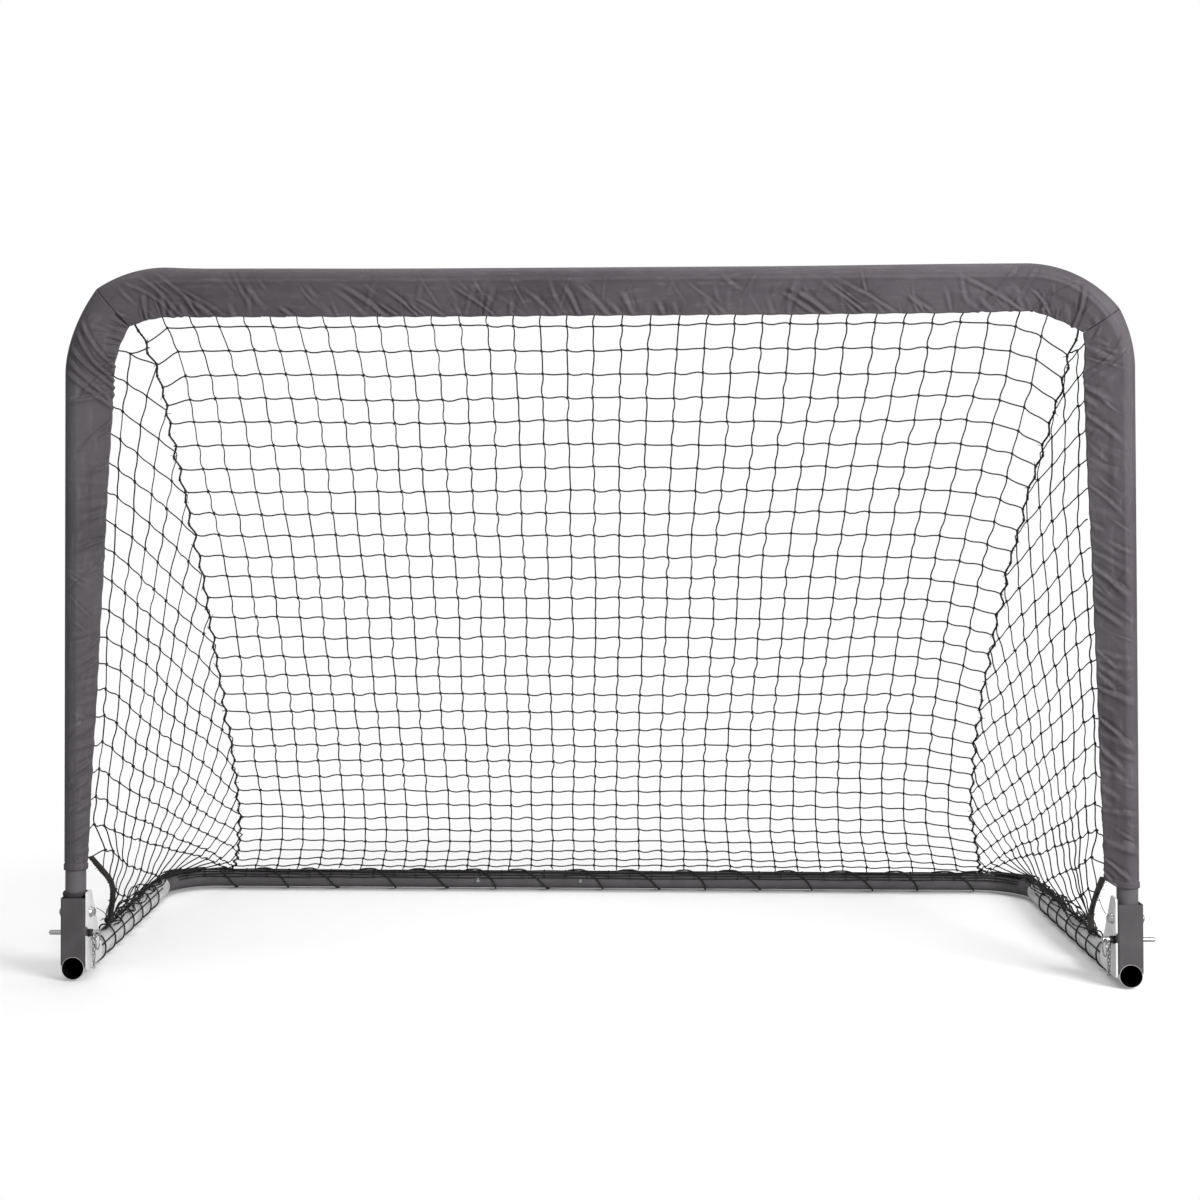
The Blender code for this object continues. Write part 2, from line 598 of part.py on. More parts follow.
def winding_points(side):
    """The lacing's turns round a side tube: slow across the underside, quick over the top."""
    steps = WINDING_STEPS
    radius = (BASE_R + GAP + LACING_DIA / 2) / math.cos(math.pi / steps)
    points = []
    start = FRONT_Y + LACING_START
    drift = LACING_DRIFT / (2 * math.pi)
    for k in range(LACING_LOOPS * steps + 1):
        turn = k / steps
        whole, part = divmod(turn, 1.0)
        along = start + LACING_PITCH * (whole + part - drift * math.sin(2 * math.pi * part))
        angle = 2 * math.pi * part
        x = side * (POST_X - radius * math.sin(angle))
        points.append(Vector((x, along, BASE_Z - radius * math.cos(angle))))
    return points


def make_lacing(side, word, base):
    """One unbroken cord wound round the side tube, pressed flat where the goal stands on it."""
    points = winding_points(side)
    curve = bpy.data.curves.new(f"{word}_lacing_curve", "CURVE")
    curve.dimensions = "3D"
    curve.bevel_depth = LACING_DIA / 2
    curve.bevel_resolution = 1
    curve.use_fill_caps = True
    spline = curve.splines.new("POLY")
    spline.points.add(len(points) - 1)
    for knot, point in zip(spline.points, points):
        knot.co = (*point, 1.0)
    guide = bpy.data.objects.new(f"{word}_lacing_guide", curve)
    bpy.context.collection.objects.link(guide)
    mesh = bpy.data.meshes.new_from_object(guide)
    bpy.data.objects.remove(guide, do_unlink=True)
    bm = bmesh.new()
    bm.from_mesh(mesh)
    bmesh.ops.remove_doubles(bm, verts=bm.verts, dist=1e-6)
    everything = bm.verts[:] + bm.edges[:] + bm.faces[:]
    cut_ring = bmesh.ops.bisect_plane(
        bm, geom=everything, plane_co=(0, 0, 0), plane_no=(0, 0, 1), clear_inner=True, dist=1e-7
    )["geom_cut"]
    rim = [e for e in cut_ring if isinstance(e, bmesh.types.BMEdge)]
    bmesh.ops.holes_fill(bm, edges=rim, sides=0)
    finish_mesh(f"{word}_lacing", bm, "net_cord", base)

    places = np.array([tuple(p) for p in points])
    gaps = np.linalg.norm(places[:, None] - places[None], axis=2)
    index = np.arange(len(points))
    apart = np.abs(index[:, None] - index[None]) > WINDING_STEPS // 2
    least = gaps[apart].min() - LACING_DIA
    print(f"{word}_lacing: least gap to itself {least * 1000:.1f} mm")


def flap_reach(side, height):
    """How far the sleeve's inner edge stands from the post axis at a height."""
    end = SLEEVE_END_LEFT if side < 0 else SLEEVE_END_RIGHT
    least = FLAP_END_LEFT if side < 0 else FLAP_END_RIGHT
    power = FLAP_CURVE_LEFT if side < 0 else FLAP_CURVE_RIGHT
    share = min(max((height - end) / (CORNER_Z - end), 0.0), 1.0)
    return least + (SLEEVE_FLAP - least) * share ** power


def sleeve_ring(bm, centre, inward, reach, fold, peak=0.0, radius=None):
    """One cross-section of the sleeve: round on the tube, drawn out to the flap's hem and to the seam's peak."""
    back = Vector((0, 1, 0))
    ring = []
    for k in range(SLEEVE_SIDES):
        angle = 2 * math.pi * (k + 0.5) / SLEEVE_SIDES
        towards, aside = math.cos(angle), math.sin(angle)
        if radius:
            u, v = radius * towards, radius * aside
        else:
            u = SLEEVE_R * towards
            v = SLEEVE_R * aside
            if towards < 0:
                u -= peak * towards ** 2
            else:
                extra = max(reach / SLEEVE_FACET - SLEEVE_R, 0.0)
                u += extra * towards ** 1.5
                slimming = min(extra / 0.02, 1.0)
                v *= 1 - slimming * (1 - SLEEVE_HEM / (SLEEVE_R * math.sin(math.pi / SLEEVE_SIDES))) * towards ** 2
                v += fold * towards * slimming
        ring.append(bm.verts.new(centre + inward * u + back * v))
    return ring


def sleeve(name, stations, frame):
    """A closed cloth tube round the frame tube, from (centre, inward, reach, fold, peak) stations."""
    bm = bmesh.new()
    bore = (FRAME_R + GAP) / SLEEVE_FACET
    outer = [sleeve_ring(bm, *station) for station in stations]
    inner = [sleeve_ring(bm, centre, inward, 0, 0, radius=bore) for centre, inward, *_ in stations]
    for rings in (outer, inner):
        for ring_a, ring_b in zip(rings, rings[1:]):
            bridge(bm, ring_a, ring_b)
    bridge(bm, outer[0], inner[0])
    bridge(bm, outer[-1], inner[-1])
    return finish_mesh(name, bm, "sleeve_fabric", frame, angle=60)


def corner_stations(side, start, stop, steps):
    """Sleeve stations round an upper corner; 0 degrees is level with the bend's lower end."""
    centre = Vector((side * (POST_X - CORNER_RADIUS), POST_Y, CORNER_Z))
    found = []
    for k in range(steps + 1):
        angle = math.radians(start + (stop - start) * k / steps)
        outward = Vector((side * math.cos(angle), 0, math.sin(angle)))
        near = max(1 - abs(math.degrees(angle) - 45) / MITRE_REACH, 0.0)
        reach = SLEEVE_FLAP - MITRE_NOTCH[side] * near ** 2
        found.append((centre + outward * CORNER_RADIUS, -outward, reach, 0.0, MITRE_PEAK[side] * near))
    return found


def make_sleeves(frame):
    """Three cloth sleeves: one on each post and one on the crossbar, meeting at mitred seams."""
    seam_slack = math.degrees(GAP / 2 / (CORNER_RADIUS - SLEEVE_FLAP))
    for side, word, end in ((-1, "left", SLEEVE_END_LEFT), (1, "right", SLEEVE_END_RIGHT)):
        stations = []
        steps = 7
        for k in range(steps):
            height = end + (CORNER_Z - end) * k / steps
            fold = SLEEVE_FOLD * math.sin(POST_FOLD_TURN * k + side)
            centre = Vector((side * POST_X, POST_Y, height))
            stations.append((centre, Vector((-side, 0, 0)), flap_reach(side, height), fold, 0.0))
        stations += corner_stations(side, 0, 45 - seam_slack, CORNER_STEPS // 2)
        sleeve(f"{word}_post_sleeve", stations, frame)

    stations = corner_stations(-1, 45 + seam_slack, 90, CORNER_STEPS // 2)
    half = POST_X - CORNER_RADIUS
    steps = 9
    for k in range(1, steps):
        centre = Vector((half * (2 * k / steps - 1), POST_Y, CROSSBAR_Z))
        fold = SLEEVE_FOLD * math.sin(BAR_FOLD_TURN * k)
        stations.append((centre, Vector((0, 0, -1)), SLEEVE_FLAP, fold, 0.0))
    stations += reversed(corner_stations(1, 45 + seam_slack, 90, CORNER_STEPS // 2))
    sleeve("crossbar_sleeve", stations, frame)

    band_r = HEM_BAND_THICKNESS / 2
    band_half = HEM_BAND_HEIGHT / 2
    band_z = BASE_Z + BOX_TOP + GAP + band_half
    centre = Vector((-POST_X, POST_Y, band_z))
    ring_r = FRAME_R + GAP / FACET + band_r
    profile = []
    corners = 6
    for k in range(corners):
        angle = 2 * math.pi * (k + 0.5) / corners
        profile.append((band_half * math.sin(angle), ring_r + band_r * math.cos(angle)))
    turned_piece("left_hem_band", profile, centre, (0, 0, 1), "sleeve_fabric", frame, sides=TUBE_SIDES)


def make_pin(side, word, pin_axis):
    """Locking pin: rounded tip outside, a head with the ring's cross hole and a chain ear inside."""
    place = (side * POST_X, POST_Y, PIN_Z)
    outward = (side, 0, 0)
    tip = CHEEK_X + PIN_TIP
    radius = PIN_DIA / 2
    head = -(PLATE_X + BUSH_INNER_LIP + PIN_HEAD_STANDOFF)
    head_end = head - PIN_HEAD_LENGTH
    head_r = PIN_HEAD_DIA / 2
    profile = [(tip, 0), (tip, 0.45 * radius), (tip - PIN_CHAMFER, radius), (head, radius), (head, head_r)]
    profile += [(head_end + 0.0015, head_r), (head_end, 0.7 * head_r), (head_end, 0)]
    pin = turned_piece(f"{word}_lock_pin", profile, place, outward, "zinc", pin_axis)
    lug_at = -(PLATE_X + BUSH_INNER_LIP) + LUG_INSET - STRAND_STEP
    ear = lug_solid(f"cut_{word}_pin_lug", side, lug_at, head_r - LUG_ROOT)
    cut(pin, ear, "UNION")
    cut(pin, lug_hole(f"cut_{word}_pin_lug_hole", side, lug_at))
    ring_x = side * (POST_X + head - RING_SEAT)
    cross = cylinder_cutter(f"cut_{word}_ring_hole", (ring_x, POST_Y, PIN_Z), (0, 1, 0), ring_hole_radius(), 0.03)
    cut(pin, cross)
    return ring_x


def ring_hole_radius():
    """Wide enough for the bent wire of the ring at every swing."""
    half = PIN_HEAD_DIA / 2
    centre_r = RING_DIA / 2
    sagitta = centre_r - math.sqrt(centre_r ** 2 - half ** 2)
    return RING_WIRE / 2 + sagitta + GAP


def make_ring(side, word, ring_x, ring_axis):
    """Pull ring hanging from the pin's cross hole."""
    centre = Vector((ring_x, POST_Y, PIN_Z - RING_DIA / 2))
    wire = RING_WIRE / 2
    profile = []
    for k in range(6):
        angle = 2 * math.pi * (k + 0.5) / 6
        profile.append((wire * math.sin(angle), RING_DIA / 2 + wire * math.cos(angle)))
    turned_piece(f"{word}_pull_ring", profile, centre, (1, 0, 0), "zinc", ring_axis, sides=RING_STEPS)


def chain_link(bm, centre, along, across):
    """One welded link: a wire bent to a stadium, lying in the plane of its two axes."""
    wire = CHAIN_WIRE / 2
    half_width = CHAIN_LINK_WIDTH / 2 - wire
    straight = CHAIN_LINK_INNER / 2 + wire - half_width
    normal = along.cross(across)
    rings = []
    steps = 6
    for k in range(steps):
        angle = 2 * math.pi * (k + 0.5) / steps
        lift = straight if math.sin(angle) > 0 else -straight
        middle = centre + along * (half_width * math.sin(angle) + lift) + across * (half_width * math.cos(angle))
        outward = along * math.sin(angle) + across * math.cos(angle)
        ring = []
        for corner in range(4):
            spin = math.pi / 2 * corner
            ring.append(bm.verts.new(middle + outward * (wire * math.cos(spin)) + normal * (wire * math.sin(spin))))
        rings.append(ring)
    for k in range(steps):
        bridge(bm, rings[k], rings[(k + 1) % steps])


def make_chain(side, word, frame):
    """Keeper chain: two hanging strands and the link that joins them at the bottom."""
    inward = Vector((-side, 0, 0))
    down = Vector((0, 0, -1))
    back = Vector((0, 1, 0))
    fixed_x = side * (POST_X - (PLATE_X + BUSH_INNER_LIP) + LUG_INSET)
    top_z = PIN_Z - LUG_HOLE_DROP - CHAIN_LINK_INNER / 2 + CHAIN_WIRE / 2 - (LUG_HOLE_DIA / 2 - CHAIN_WIRE / 2) / 2
    top_z -= CHAIN_WIRE
    facing, edgeways = bmesh.new(), bmesh.new()
    for strand in (0, 1):
        column = Vector((fixed_x, POST_Y, top_z)) + inward * (strand * STRAND_STEP)
        for k in range(CHAIN_LINKS):
            bm, across = (facing, inward) if k % 2 == 0 else (edgeways, back)
            chain_link(bm, column + down * (k * CHAIN_PITCH), down, across)
    last = Vector((fixed_x, POST_Y, top_z)) + down * ((CHAIN_LINKS - 1) * CHAIN_PITCH)
    low_wire = CHAIN_LINK_INNER / 2 + CHAIN_WIRE / 2
    chain_link(facing, last + down * low_wire + inward * (STRAND_STEP / 2), inward, down)
    chain = finish_mesh(f"{word}_keeper_chain", facing, "zinc", frame)
    others = finish_mesh(f"cut_{word}_chain_links", edgeways, "zinc")
    cut(chain, as_cutter(others), "UNION")


def net_shape(t, top, foot):
    """A point of the hanging net: t runs from 0 at the top edge to 1 at the rear bar."""
    chord = foot - top
    inward = Vector((0, chord.z, -chord.y)).normalized()
    sag = NET_SAG * 4 * t * (1 - t) * (0.75 + 0.5 * t)
    return top + chord * t + inward * sag


def net_top_height(x):
    """Height of the net's top edge, just under the sleeve's hem, lower at the corners."""
    flap = CORNER_RADIUS - SLEEVE_FLAP - NET_CLEARANCE
    past = max(abs(x) - (POST_X - CORNER_RADIUS), 0.0)
    return CORNER_Z + math.sqrt(max(flap ** 2 - past ** 2, 0.0))


def net_foot(x, lift):
    """Where the net lies on the rear bar, touching it along the net's own slope."""
    return Vector((x, REAR_Y, BASE_Z)) + Vector(NET_FOOT_SLOPE) * (FRAME_R + GAP + lift)


def seam_x(t):
    return SEAM_TOP_X + (SEAM_FOOT_X - SEAM_TOP_X) * t - SEAM_BOW * math.sin(math.pi * t ** 1.4)


def seam_point(side, t, lift=NET_THICKNESS / 2):
    top = Vector((0, POST_Y + NET_TOP_BACK, net_top_height(SEAM_TOP_X)))
    foot = net_foot(0, lift)
    place = net_shape(t, top, foot)
    place.x = side * seam_x(t)
    return place


def seam_steps():
    """Heights of the net's rows along the seam, closer together at the rear bar."""
    return [0.0, 0.17, 0.33, 0.48, 0.62, 0.75, 0.86, 0.945, 1.0]


def lattice(name, points, faces, base):
    """A net panel: each opening is cut out of a sheet and the sheet gets the cord's thickness."""
    bm = bmesh.new()
    verts = [bm.verts.new(p) for p in points]
    for face in faces:
        bm.faces.new([verts[k] for k in face])
    bmesh.ops.recalc_face_normals(bm, faces=bm.faces)
    cells = bm.faces[:]
    bmesh.ops.inset_individual(bm, faces=cells, thickness=NET_STRAND / 2, use_even_offset=True)
    bmesh.ops.delete(bm, geom=cells, context="FACES")
    mesh = bpy.data.meshes.new(name)
    bm.to_mesh(mesh)
    bm.free()
    net = bpy.data.objects.new(name, mesh)
    bpy.context.collection.objects.link(net)
    mesh.materials.append(material("net_cord"))
    solid = net.modifiers.new("thickness", "SOLIDIFY")
    solid.thickness = NET_THICKNESS
    solid.offset = 0.0
    solid.use_even_offset = True
    hang_from(net, base)
    return net


def make_back_net(base):
    steps = seam_steps()
    points = []
    edge = SEAM_DIA / 2 + GAP
    for t in steps:
        half = seam_x(t) - edge
        for k in range(NET_COLUMNS + 1):
            x = half * (2 * k / NET_COLUMNS - 1)
            top = Vector((x, POST_Y + NET_TOP_BACK, net_top_height(x)))
            points.append(net_shape(t, top, net_foot(x, NET_THICKNESS / 2)))
            points[-1].x = x
    wide = NET_COLUMNS + 1
    faces = []
    for row in range(NET_ROWS):
        for column in range(NET_COLUMNS):
            first = row * wide + column
            faces.append((first, first + 1, first + wide + 1, first + wide))
    lattice("back_net", points, faces, base)


def tube_top_point(side, y):
    """A point of the side net's foot: on the lacing over the side tube and round its bend."""
    x = POST_X
    if y > REAR_BEND_Y:
        share = min((y - REAR_BEND_Y) / REAR_RADIUS, 1.0)
        x = POST_X - REAR_RADIUS + REAR_RADIUS * math.sqrt(1 - share ** 2)
    lift = BASE_R + GAP + LACING_DIA + NET_REST + NET_THICKNESS / 2
    return Vector((side * x, y, BASE_Z + lift))


def make_side_net(side, word, base):
    """A three-cornered panel between the post, the seam and the side tube."""
    steps = seam_steps()
    last = len(steps) - 1
    seam = [seam_point(side, t) for t in steps]
    rows = [[seam[0]]]
    post_top = CORNER_Z - 0.02
    for row in range(1, last + 1):
        share = (row - 1) / (last - 1)
        height = post_top + (SIDE_NET_END - post_top) * share
        post_x = POST_X - flap_reach(side, height) - NET_CLEARANCE - NET_THICKNESS / 2
        start = Vector((side * post_x, POST_Y + 0.002, height))
        line = [start]
        for column in range(1, row):
            share = (seam[column].y - start.y) / (seam[row].y - start.y)
            line.append(start.lerp(seam[row], share))
        rows.append(line + [seam[row]])
    for column in range(1, last):
        y = max(rows[last][column].y, FRONT_Y + LACING_START + 0.02)
        rows[last][column] = tube_top_point(side, y)
    for column in range(1, last - 1):
        x = side * (POST_X - SIDE_NET_SKIRT_INSET)
        rows[last - 1][column] = Vector((x, rows[last][column].y, SIDE_NET_SKIRT))
    inset, corner_z = SIDE_NET_CORNER
    rows[last][1] = Vector((side * (POST_X - inset), rows[last][1].y, corner_z))
    stand_off = SEAM_DIA / 2 + 2 * GAP
    for row in range(last + 1):
        along = (seam[min(row + 1, last)] - seam[max(row - 1, 0)]).normalized()
        neighbour = rows[row][row - 1] if row else rows[1][0]
        away = neighbour - seam[row]
        away -= along * away.dot(along)
        rows[row][row] = seam[row] + away.normalized() * stand_off
    rows[last][last].z += NET_THICKNESS
    points, index = [], {}
    for row, line in enumerate(rows):
        for column, place in enumerate(line):
            index[row, column] = len(points)
            points.append(place)
    faces = []
    for row in range(last):
        for column in range(row):
            faces.append((index[row, column], index[row, column + 1], index[row + 1, column + 1], index[row + 1, column]))
        faces.append((index[row, row], index[row + 1, row + 1], index[row + 1, row]))
    lattice(f"{word}_side_net", points, faces, base)


def make_seam(side, word, base):
    """The cord that joins the back panel to a side panel."""
    lift = SEAM_DIA / 2
    points = [seam_point(side, t, lift) for t in seam_steps()]
    bm = bmesh.new()
    rings = []
    sides = 6
    for k, point in enumerate(points):
        along = (points[min(k + 1, len(points) - 1)] - points[max(k - 1, 0)]).normalized()
        across = along.cross(Vector((1, 0, 0))).normalized()
        other = along.cross(across)
        ring = []
        for corner in range(sides):
            angle = 2 * math.pi * (corner + 0.5) / sides
            ring.append(bm.verts.new(point + lift * (across * math.cos(angle) + other * math.sin(angle))))
        rings.append(ring)
    for ring_a, ring_b in zip(rings, rings[1:]):
        bridge(bm, ring_a, ring_b)
    bm.faces.new(rings[0])
    bm.faces.new(list(reversed(rings[-1])))
    finish_mesh(f"{word}_seam_cord", bm, "net_cord", base)


def main():
    clear_scene()
    base = axis_empty("base_frame", (0, 0, 0))
    frame = axis_empty("arch_hinge", (0, POST_Y, PIVOT_Z), base)
    make_base(base)
    make_arch(frame)
    make_sleeves(frame)
    make_back_net(base)
    for side, word in ((-1, "left"), (1, "right")):
        make_foot(side, word, frame)
        pin_axis = axis_empty(f"{word}_pin_slide", (side * POST_X, POST_Y, PIN_Z), frame)
        ring_x = make_pin(side, word, pin_axis)
        ring_axis = axis_empty(f"{word}_ring_swing", (ring_x, POST_Y, PIN_Z), pin_axis)
        make_ring(side, word, ring_x, ring_axis)
        make_chain(side, word, frame)
        make_lacing(side, word, base)
        make_side_net(side, word, base)
        make_seam(side, word, base)


main()
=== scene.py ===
"""Looks of the folding soccer goal: cloth sleeves, knotted net, lacing, zinc and powder-coated steel."""

import math

import bmesh
import bpy
import numpy as np
from mathutils import Matrix, Vector


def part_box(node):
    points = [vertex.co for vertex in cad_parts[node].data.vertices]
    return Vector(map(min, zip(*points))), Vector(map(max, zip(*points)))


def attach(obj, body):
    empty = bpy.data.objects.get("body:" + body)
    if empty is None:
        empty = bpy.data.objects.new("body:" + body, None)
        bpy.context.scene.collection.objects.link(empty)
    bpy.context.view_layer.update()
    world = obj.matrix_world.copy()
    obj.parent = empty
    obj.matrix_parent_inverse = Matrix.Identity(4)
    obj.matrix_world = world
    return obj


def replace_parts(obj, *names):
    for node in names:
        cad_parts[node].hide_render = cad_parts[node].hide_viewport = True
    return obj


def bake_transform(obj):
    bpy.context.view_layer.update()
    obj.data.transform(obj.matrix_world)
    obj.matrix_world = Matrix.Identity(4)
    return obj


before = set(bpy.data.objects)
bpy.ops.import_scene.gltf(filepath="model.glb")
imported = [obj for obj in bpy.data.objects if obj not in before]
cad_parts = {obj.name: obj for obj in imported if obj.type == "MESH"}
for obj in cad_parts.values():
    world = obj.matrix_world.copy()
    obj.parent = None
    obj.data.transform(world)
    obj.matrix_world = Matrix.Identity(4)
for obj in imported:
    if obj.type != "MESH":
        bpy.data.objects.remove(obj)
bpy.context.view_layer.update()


def middle(node):
    low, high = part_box(node)
    return (low + high) / 2


# Tubes. All sizes and places are in metres.
TUBE_R = 0.0175
TUBE_WALL = 0.0015
BASE_R = 0.019
BASE_WALL = 0.0012
BEND_R = 0.160
REAR_BEND_R = 0.100
JOINT_GAP = 0.0003
TUBE_SIDES = 64
POST_BEND_STEPS = 24
REAR_BEND_STEPS = 20

# Places read from the frame.
POST_X = middle("right_side_tube").x
BASE_Z = middle("right_side_tube").z
POST_Y = middle("crossbar_tube").y
BAR_Z = middle("crossbar_tube").z
REAR_Y = middle("rear_joint_spigot").y
BOX_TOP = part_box("left_foot_box")[1].z
FRONT_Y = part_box("left_side_tube")[0].y
BEND_X = POST_X - BEND_R
BEND_Z = BAR_Z - BEND_R
REAR_BEND_X = POST_X - REAR_BEND_R
REAR_BEND_Y = REAR_Y - REAR_BEND_R
SIDES = {"left": -1, "right": 1}

# Sleeves.
CLOTH = 0.0011
SLEEVE_R = 0.0190
BAR_SLEEVE_R = 0.0206
BAR_SLACK = 0.0020
BAR_SLACK_RUN = (0.05, 0.45)
SLEEVE_COUNT = 96
SLEEVE_STEP = 0.0022
SLEEVE_UV_WIDTH = 0.18
SLEEVE_END = {"left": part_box("left_post_sleeve")[0].z, "right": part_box("right_post_sleeve")[0].z}
# How far the hem stands from the tube's axis: at the posts' ends, at their tops and along the crossbar.
FLAP_END = {"left": 0.0195, "right": 0.0380}
FLAP_TOP = {"left": 0.0647, "right": 0.0665}
FLAP_POWER = {"left": 1.0, "right": 1.15}
BAR_FLAP_AT = (-0.72, -0.30, 0.30, 0.60, 0.72)
BAR_FLAP = (0.0617, 0.0635, 0.0632, 0.0622, 0.0597)
# A hem nearer to the axis than this many radii leaves no flap: the cloth is a plain ring there.
NO_FLAP = 1.03
HEM_HALF = 0.0018
HEM_EDGE = 0.0003
HEM_SCALLOP = 0.0011
HEM_SLOPE = {"left": 0.10, "right": 0.62}
HEM_SLOPE_HEIGHT = 0.05
HEM_STIFF = 0.45
HEM_STIFF_RISE = 0.003
FLAP_EASE = 0.012
FLAP_SWAY = 0.0022
FLAP_SWAY_RATES = (19.0, 7.0)
CUFF = 0.010
CUFF_EDGE = 0.001
CUFF_THICK = 0.0011
CUFF_GROOVE = 0.0007
CUFF_GROOVE_WIDTH = 0.0012
TURNED_IN = 0.006
BEND_CLEAR = 0.001

# The mitred corners. A mitre's turn, reach and gap are in degrees round the bend, its turn from the post.
MITRE_TURN = {"left": 49.5, "right": 34.0}
MITRE_REACH = 40.0
MITRE_GAP = 0.15
MITRE_NOTCH = {"left": 0.011, "right": 0.018}
MITRE_PEAK = {"left": 0.014, "right": 0.007}
PEAK_REACH = {"left": (0.11, 0.20), "right": (0.11, 0.16)}
PEAK_POWER = 2.2

# Folds in the cloth, drawn at random. A foot or a start is where folds fade in; a lean is a range of slants.
FULL_TURN = 6.28
STRENGTH = (0.3, 1.0)
# Added to a sleeve's seed for the folds on its back.
BACK_SEED = 100
FOLD_START = (-0.019, -0.004)
PLEAT_DEPTH = 0.0036
PLEAT_UNEVEN = 1.4
PLEAT_FOOT = (-0.001, 0.006)
PLEAT_FADE = 0.55
PLEAT_STRAY = 0.004
PLEAT_WIDTH = (0.0020, 0.0050)
PLEAT_REACH = (0.018, 0.072)
PLEAT_CURVE = 4.0
PLEAT_FLARE = 0.06
CRINKLE_DEPTH = 0.0019
CRINKLES_PER_METRE = 55
CRINKLE_RISE = (0.004, 0.052)
CRINKLE_LENGTH = (0.008, 0.026)
CRINKLE_WIDTH = (0.0014, 0.0040)
CRINKLE_CURVE = 0.35
CRINKLES_LEANING = 0.75
CRINKLE_ASTRAY = (0.3, 1.2)
BILLOW_DEPTH = 0.0014
BILLOWS = 9
BILLOW_SUM = 4
BILLOW_FOOT = (0.0, 0.012)
# The spread of a billow's rate along the sleeve and across it.
BILLOW_RATES = (26.0, 40.0)
POST_LEAN = (-1.0, -0.2)
BAR_LEAN = (-1.5, 0.4)
# How far the folds go in and out altogether.
FOLD_LIMITS = (-0.0018, 0.0048)
# The crease along the tube's edge and the lip beside it: depth, and place and width across the sleeve.
POST_CREASE = 0.0003
BAR_CREASE = 0.0013
CREASE_LINE = (-0.001, 0.0016)
CREASE_RATE = 130.0
CREASE_LIP = (0.004, 0.0024)
CREASE_LIP_SHARE = 0.6
# Single folds: place along the sleeve, slant and depth.
FOLD_WIDTH = 0.0038
SINGLE_FOLD_START = (-0.018, 0.0)
POST_FOLDS = {
    "left": [(0.028, 0.1, 0.0012), (0.034, 0.05, 0.0008), (0.205, 0.25, 0.0012), (0.655, -0.1, 0.0010),
             (0.790, 0.18, 0.0036), (0.826, -0.75, 0.0044), (0.846, -0.95, 0.0036), (0.868, -0.85, 0.0048),
             (0.893, -1.05, 0.0042), (0.912, -0.8, 0.0036)],
    "right": [(0.060, 0.2, 0.0014), (0.120, 0.1, 0.0018), (0.880, -0.7, 0.0016), (0.905, -0.9, 0.0018)],
}
BAR_FOLDS = [(0.05, 1.1, 0.0020), (0.075, 0.9, 0.0022), (0.105, 1.2, 0.0018), (1.52, -0.8, 0.0026),
             (1.555, -0.5, 0.0018), (1.62, -0.9, 0.0022), (1.646, 0.63, 0.0042)]

# Net.
MESH = 0.046
NET_COLUMNS = 34
NET_ROWS = 31
FIRST_ROW = 0.38
HIDDEN_ROW = -0.008
SIDE_ROWS = 18
SIDE_TOP = 1.115
SIDE_PITCH = 0.0481
SIDE_TIE = 0.004
TIE_BEHIND_POST = 0.002
END_INSET = 0.004
# Along a row of the side net: where its first and last columns stand, and how its meshes crowd and dip.
FIRST_COLUMN = 0.4
LAST_COLUMN = 0.6
ROW_CROWD = 0.92
ROW_DIP = 1.04
FOOT_ROW = 1.35
SIDE_BULGE = 0.008
SIDE_LIFT = 0.012
SIDE_LIFT_ROWS = (10, 16)
SIDE_LIFT_COLUMN = (1.3, 1.6)
SIDE_FOOT_BULGE = 0.010
HEM_CLEAR = 0.012
TWINE_R = 0.00122
KNOT_R = 0.0027
KNOT_SHAPE = (1.35, 0.85, 0.85)
TWINE_WAVE = 0.0060
WAVE_SCALE = 21.0
STRAND_POINTS = 4
STRAND_BEND = 0.0013
STRAND_BEND_SHARE = (0.1, 1.4)
STRAND_SAG = 0.0014
STRAND_SAG_SHARE = (0.2, 1.2)
LEVEL_SHARE = 0.75
DRIFT_WAVES = 14
DRIFT_SHARE = 0.35
# How far the knots of a panel stray, and the length of the waves that they stray in.
BACK_DRIFT = (0.0016, 0.5)
SIDE_DRIFT = (0.0022, 0.4)
NET_BEHIND_POST = 0.006
NET_SAG = 0.115
NET_BELLY = 0.36
BELLY_POWER = 8
# The direction from the rear bar's axis to the place where the net lies on the bar.
NET_LANDING = np.array([0.0, 0.4575, 0.889])
# How far rows sink beside a seam, in rows: on the left only the first rows, on the right by column.
LEFT_DROP = 0.45
LEFT_DROP_ROWS = (3, 5)
RIGHT_DROPS = (0.85, 0.50, 0.22, 0.06)

# Seams between the panels. A side net's rows meet the seam at shares that shorten a little from row to row.
SEAM_R = 0.0017
SEAM_CLEAR = 0.0018
SIDE_SEAM_CLEAR = 0.0022
SEAM_START = 0.036
SEAM_SHARE = 0.0612
SEAM_EASE = 0.0035
SEAM_OUT = (0.0005, 0.0055)
SEAM_IN = (0.0008, 0.0040)
# Heights and radii of a knot's blob of cord.
SEAM_KNOT = [(-0.003, 0.0012), (-0.0015, 0.0024), (0.0015, 0.0024), (0.003, 0.0012)]
LOOSE_ENDS = (1, 5)
LOOSE_END = (0.003, 0.009)
LOOSE_END_BEND = 0.0006
LOOSE_END_R = 0.0005
# Routes: the share of the way down the back panel and the distance from the middle.
SEAM_ROUTE = {
    "left": [(-0.03, 0.796), (0.02, 0.768), (0.08, 0.747), (0.19, 0.7285), (0.35, 0.7040), (0.54, 0.6925),
             (0.72, 0.6910), (0.83, 0.7000), (0.92, 0.7210), (1.00, 0.7520)],
    "right": [(-0.03, 0.812), (0.02, 0.7995), (0.10, 0.7840), (0.20, 0.7580), (0.34, 0.7300), (0.50, 0.7125),
              (0.62, 0.7085), (0.74, 0.7170), (0.83, 0.7330), (0.92, 0.7620), (1.00, 0.7880)],
}

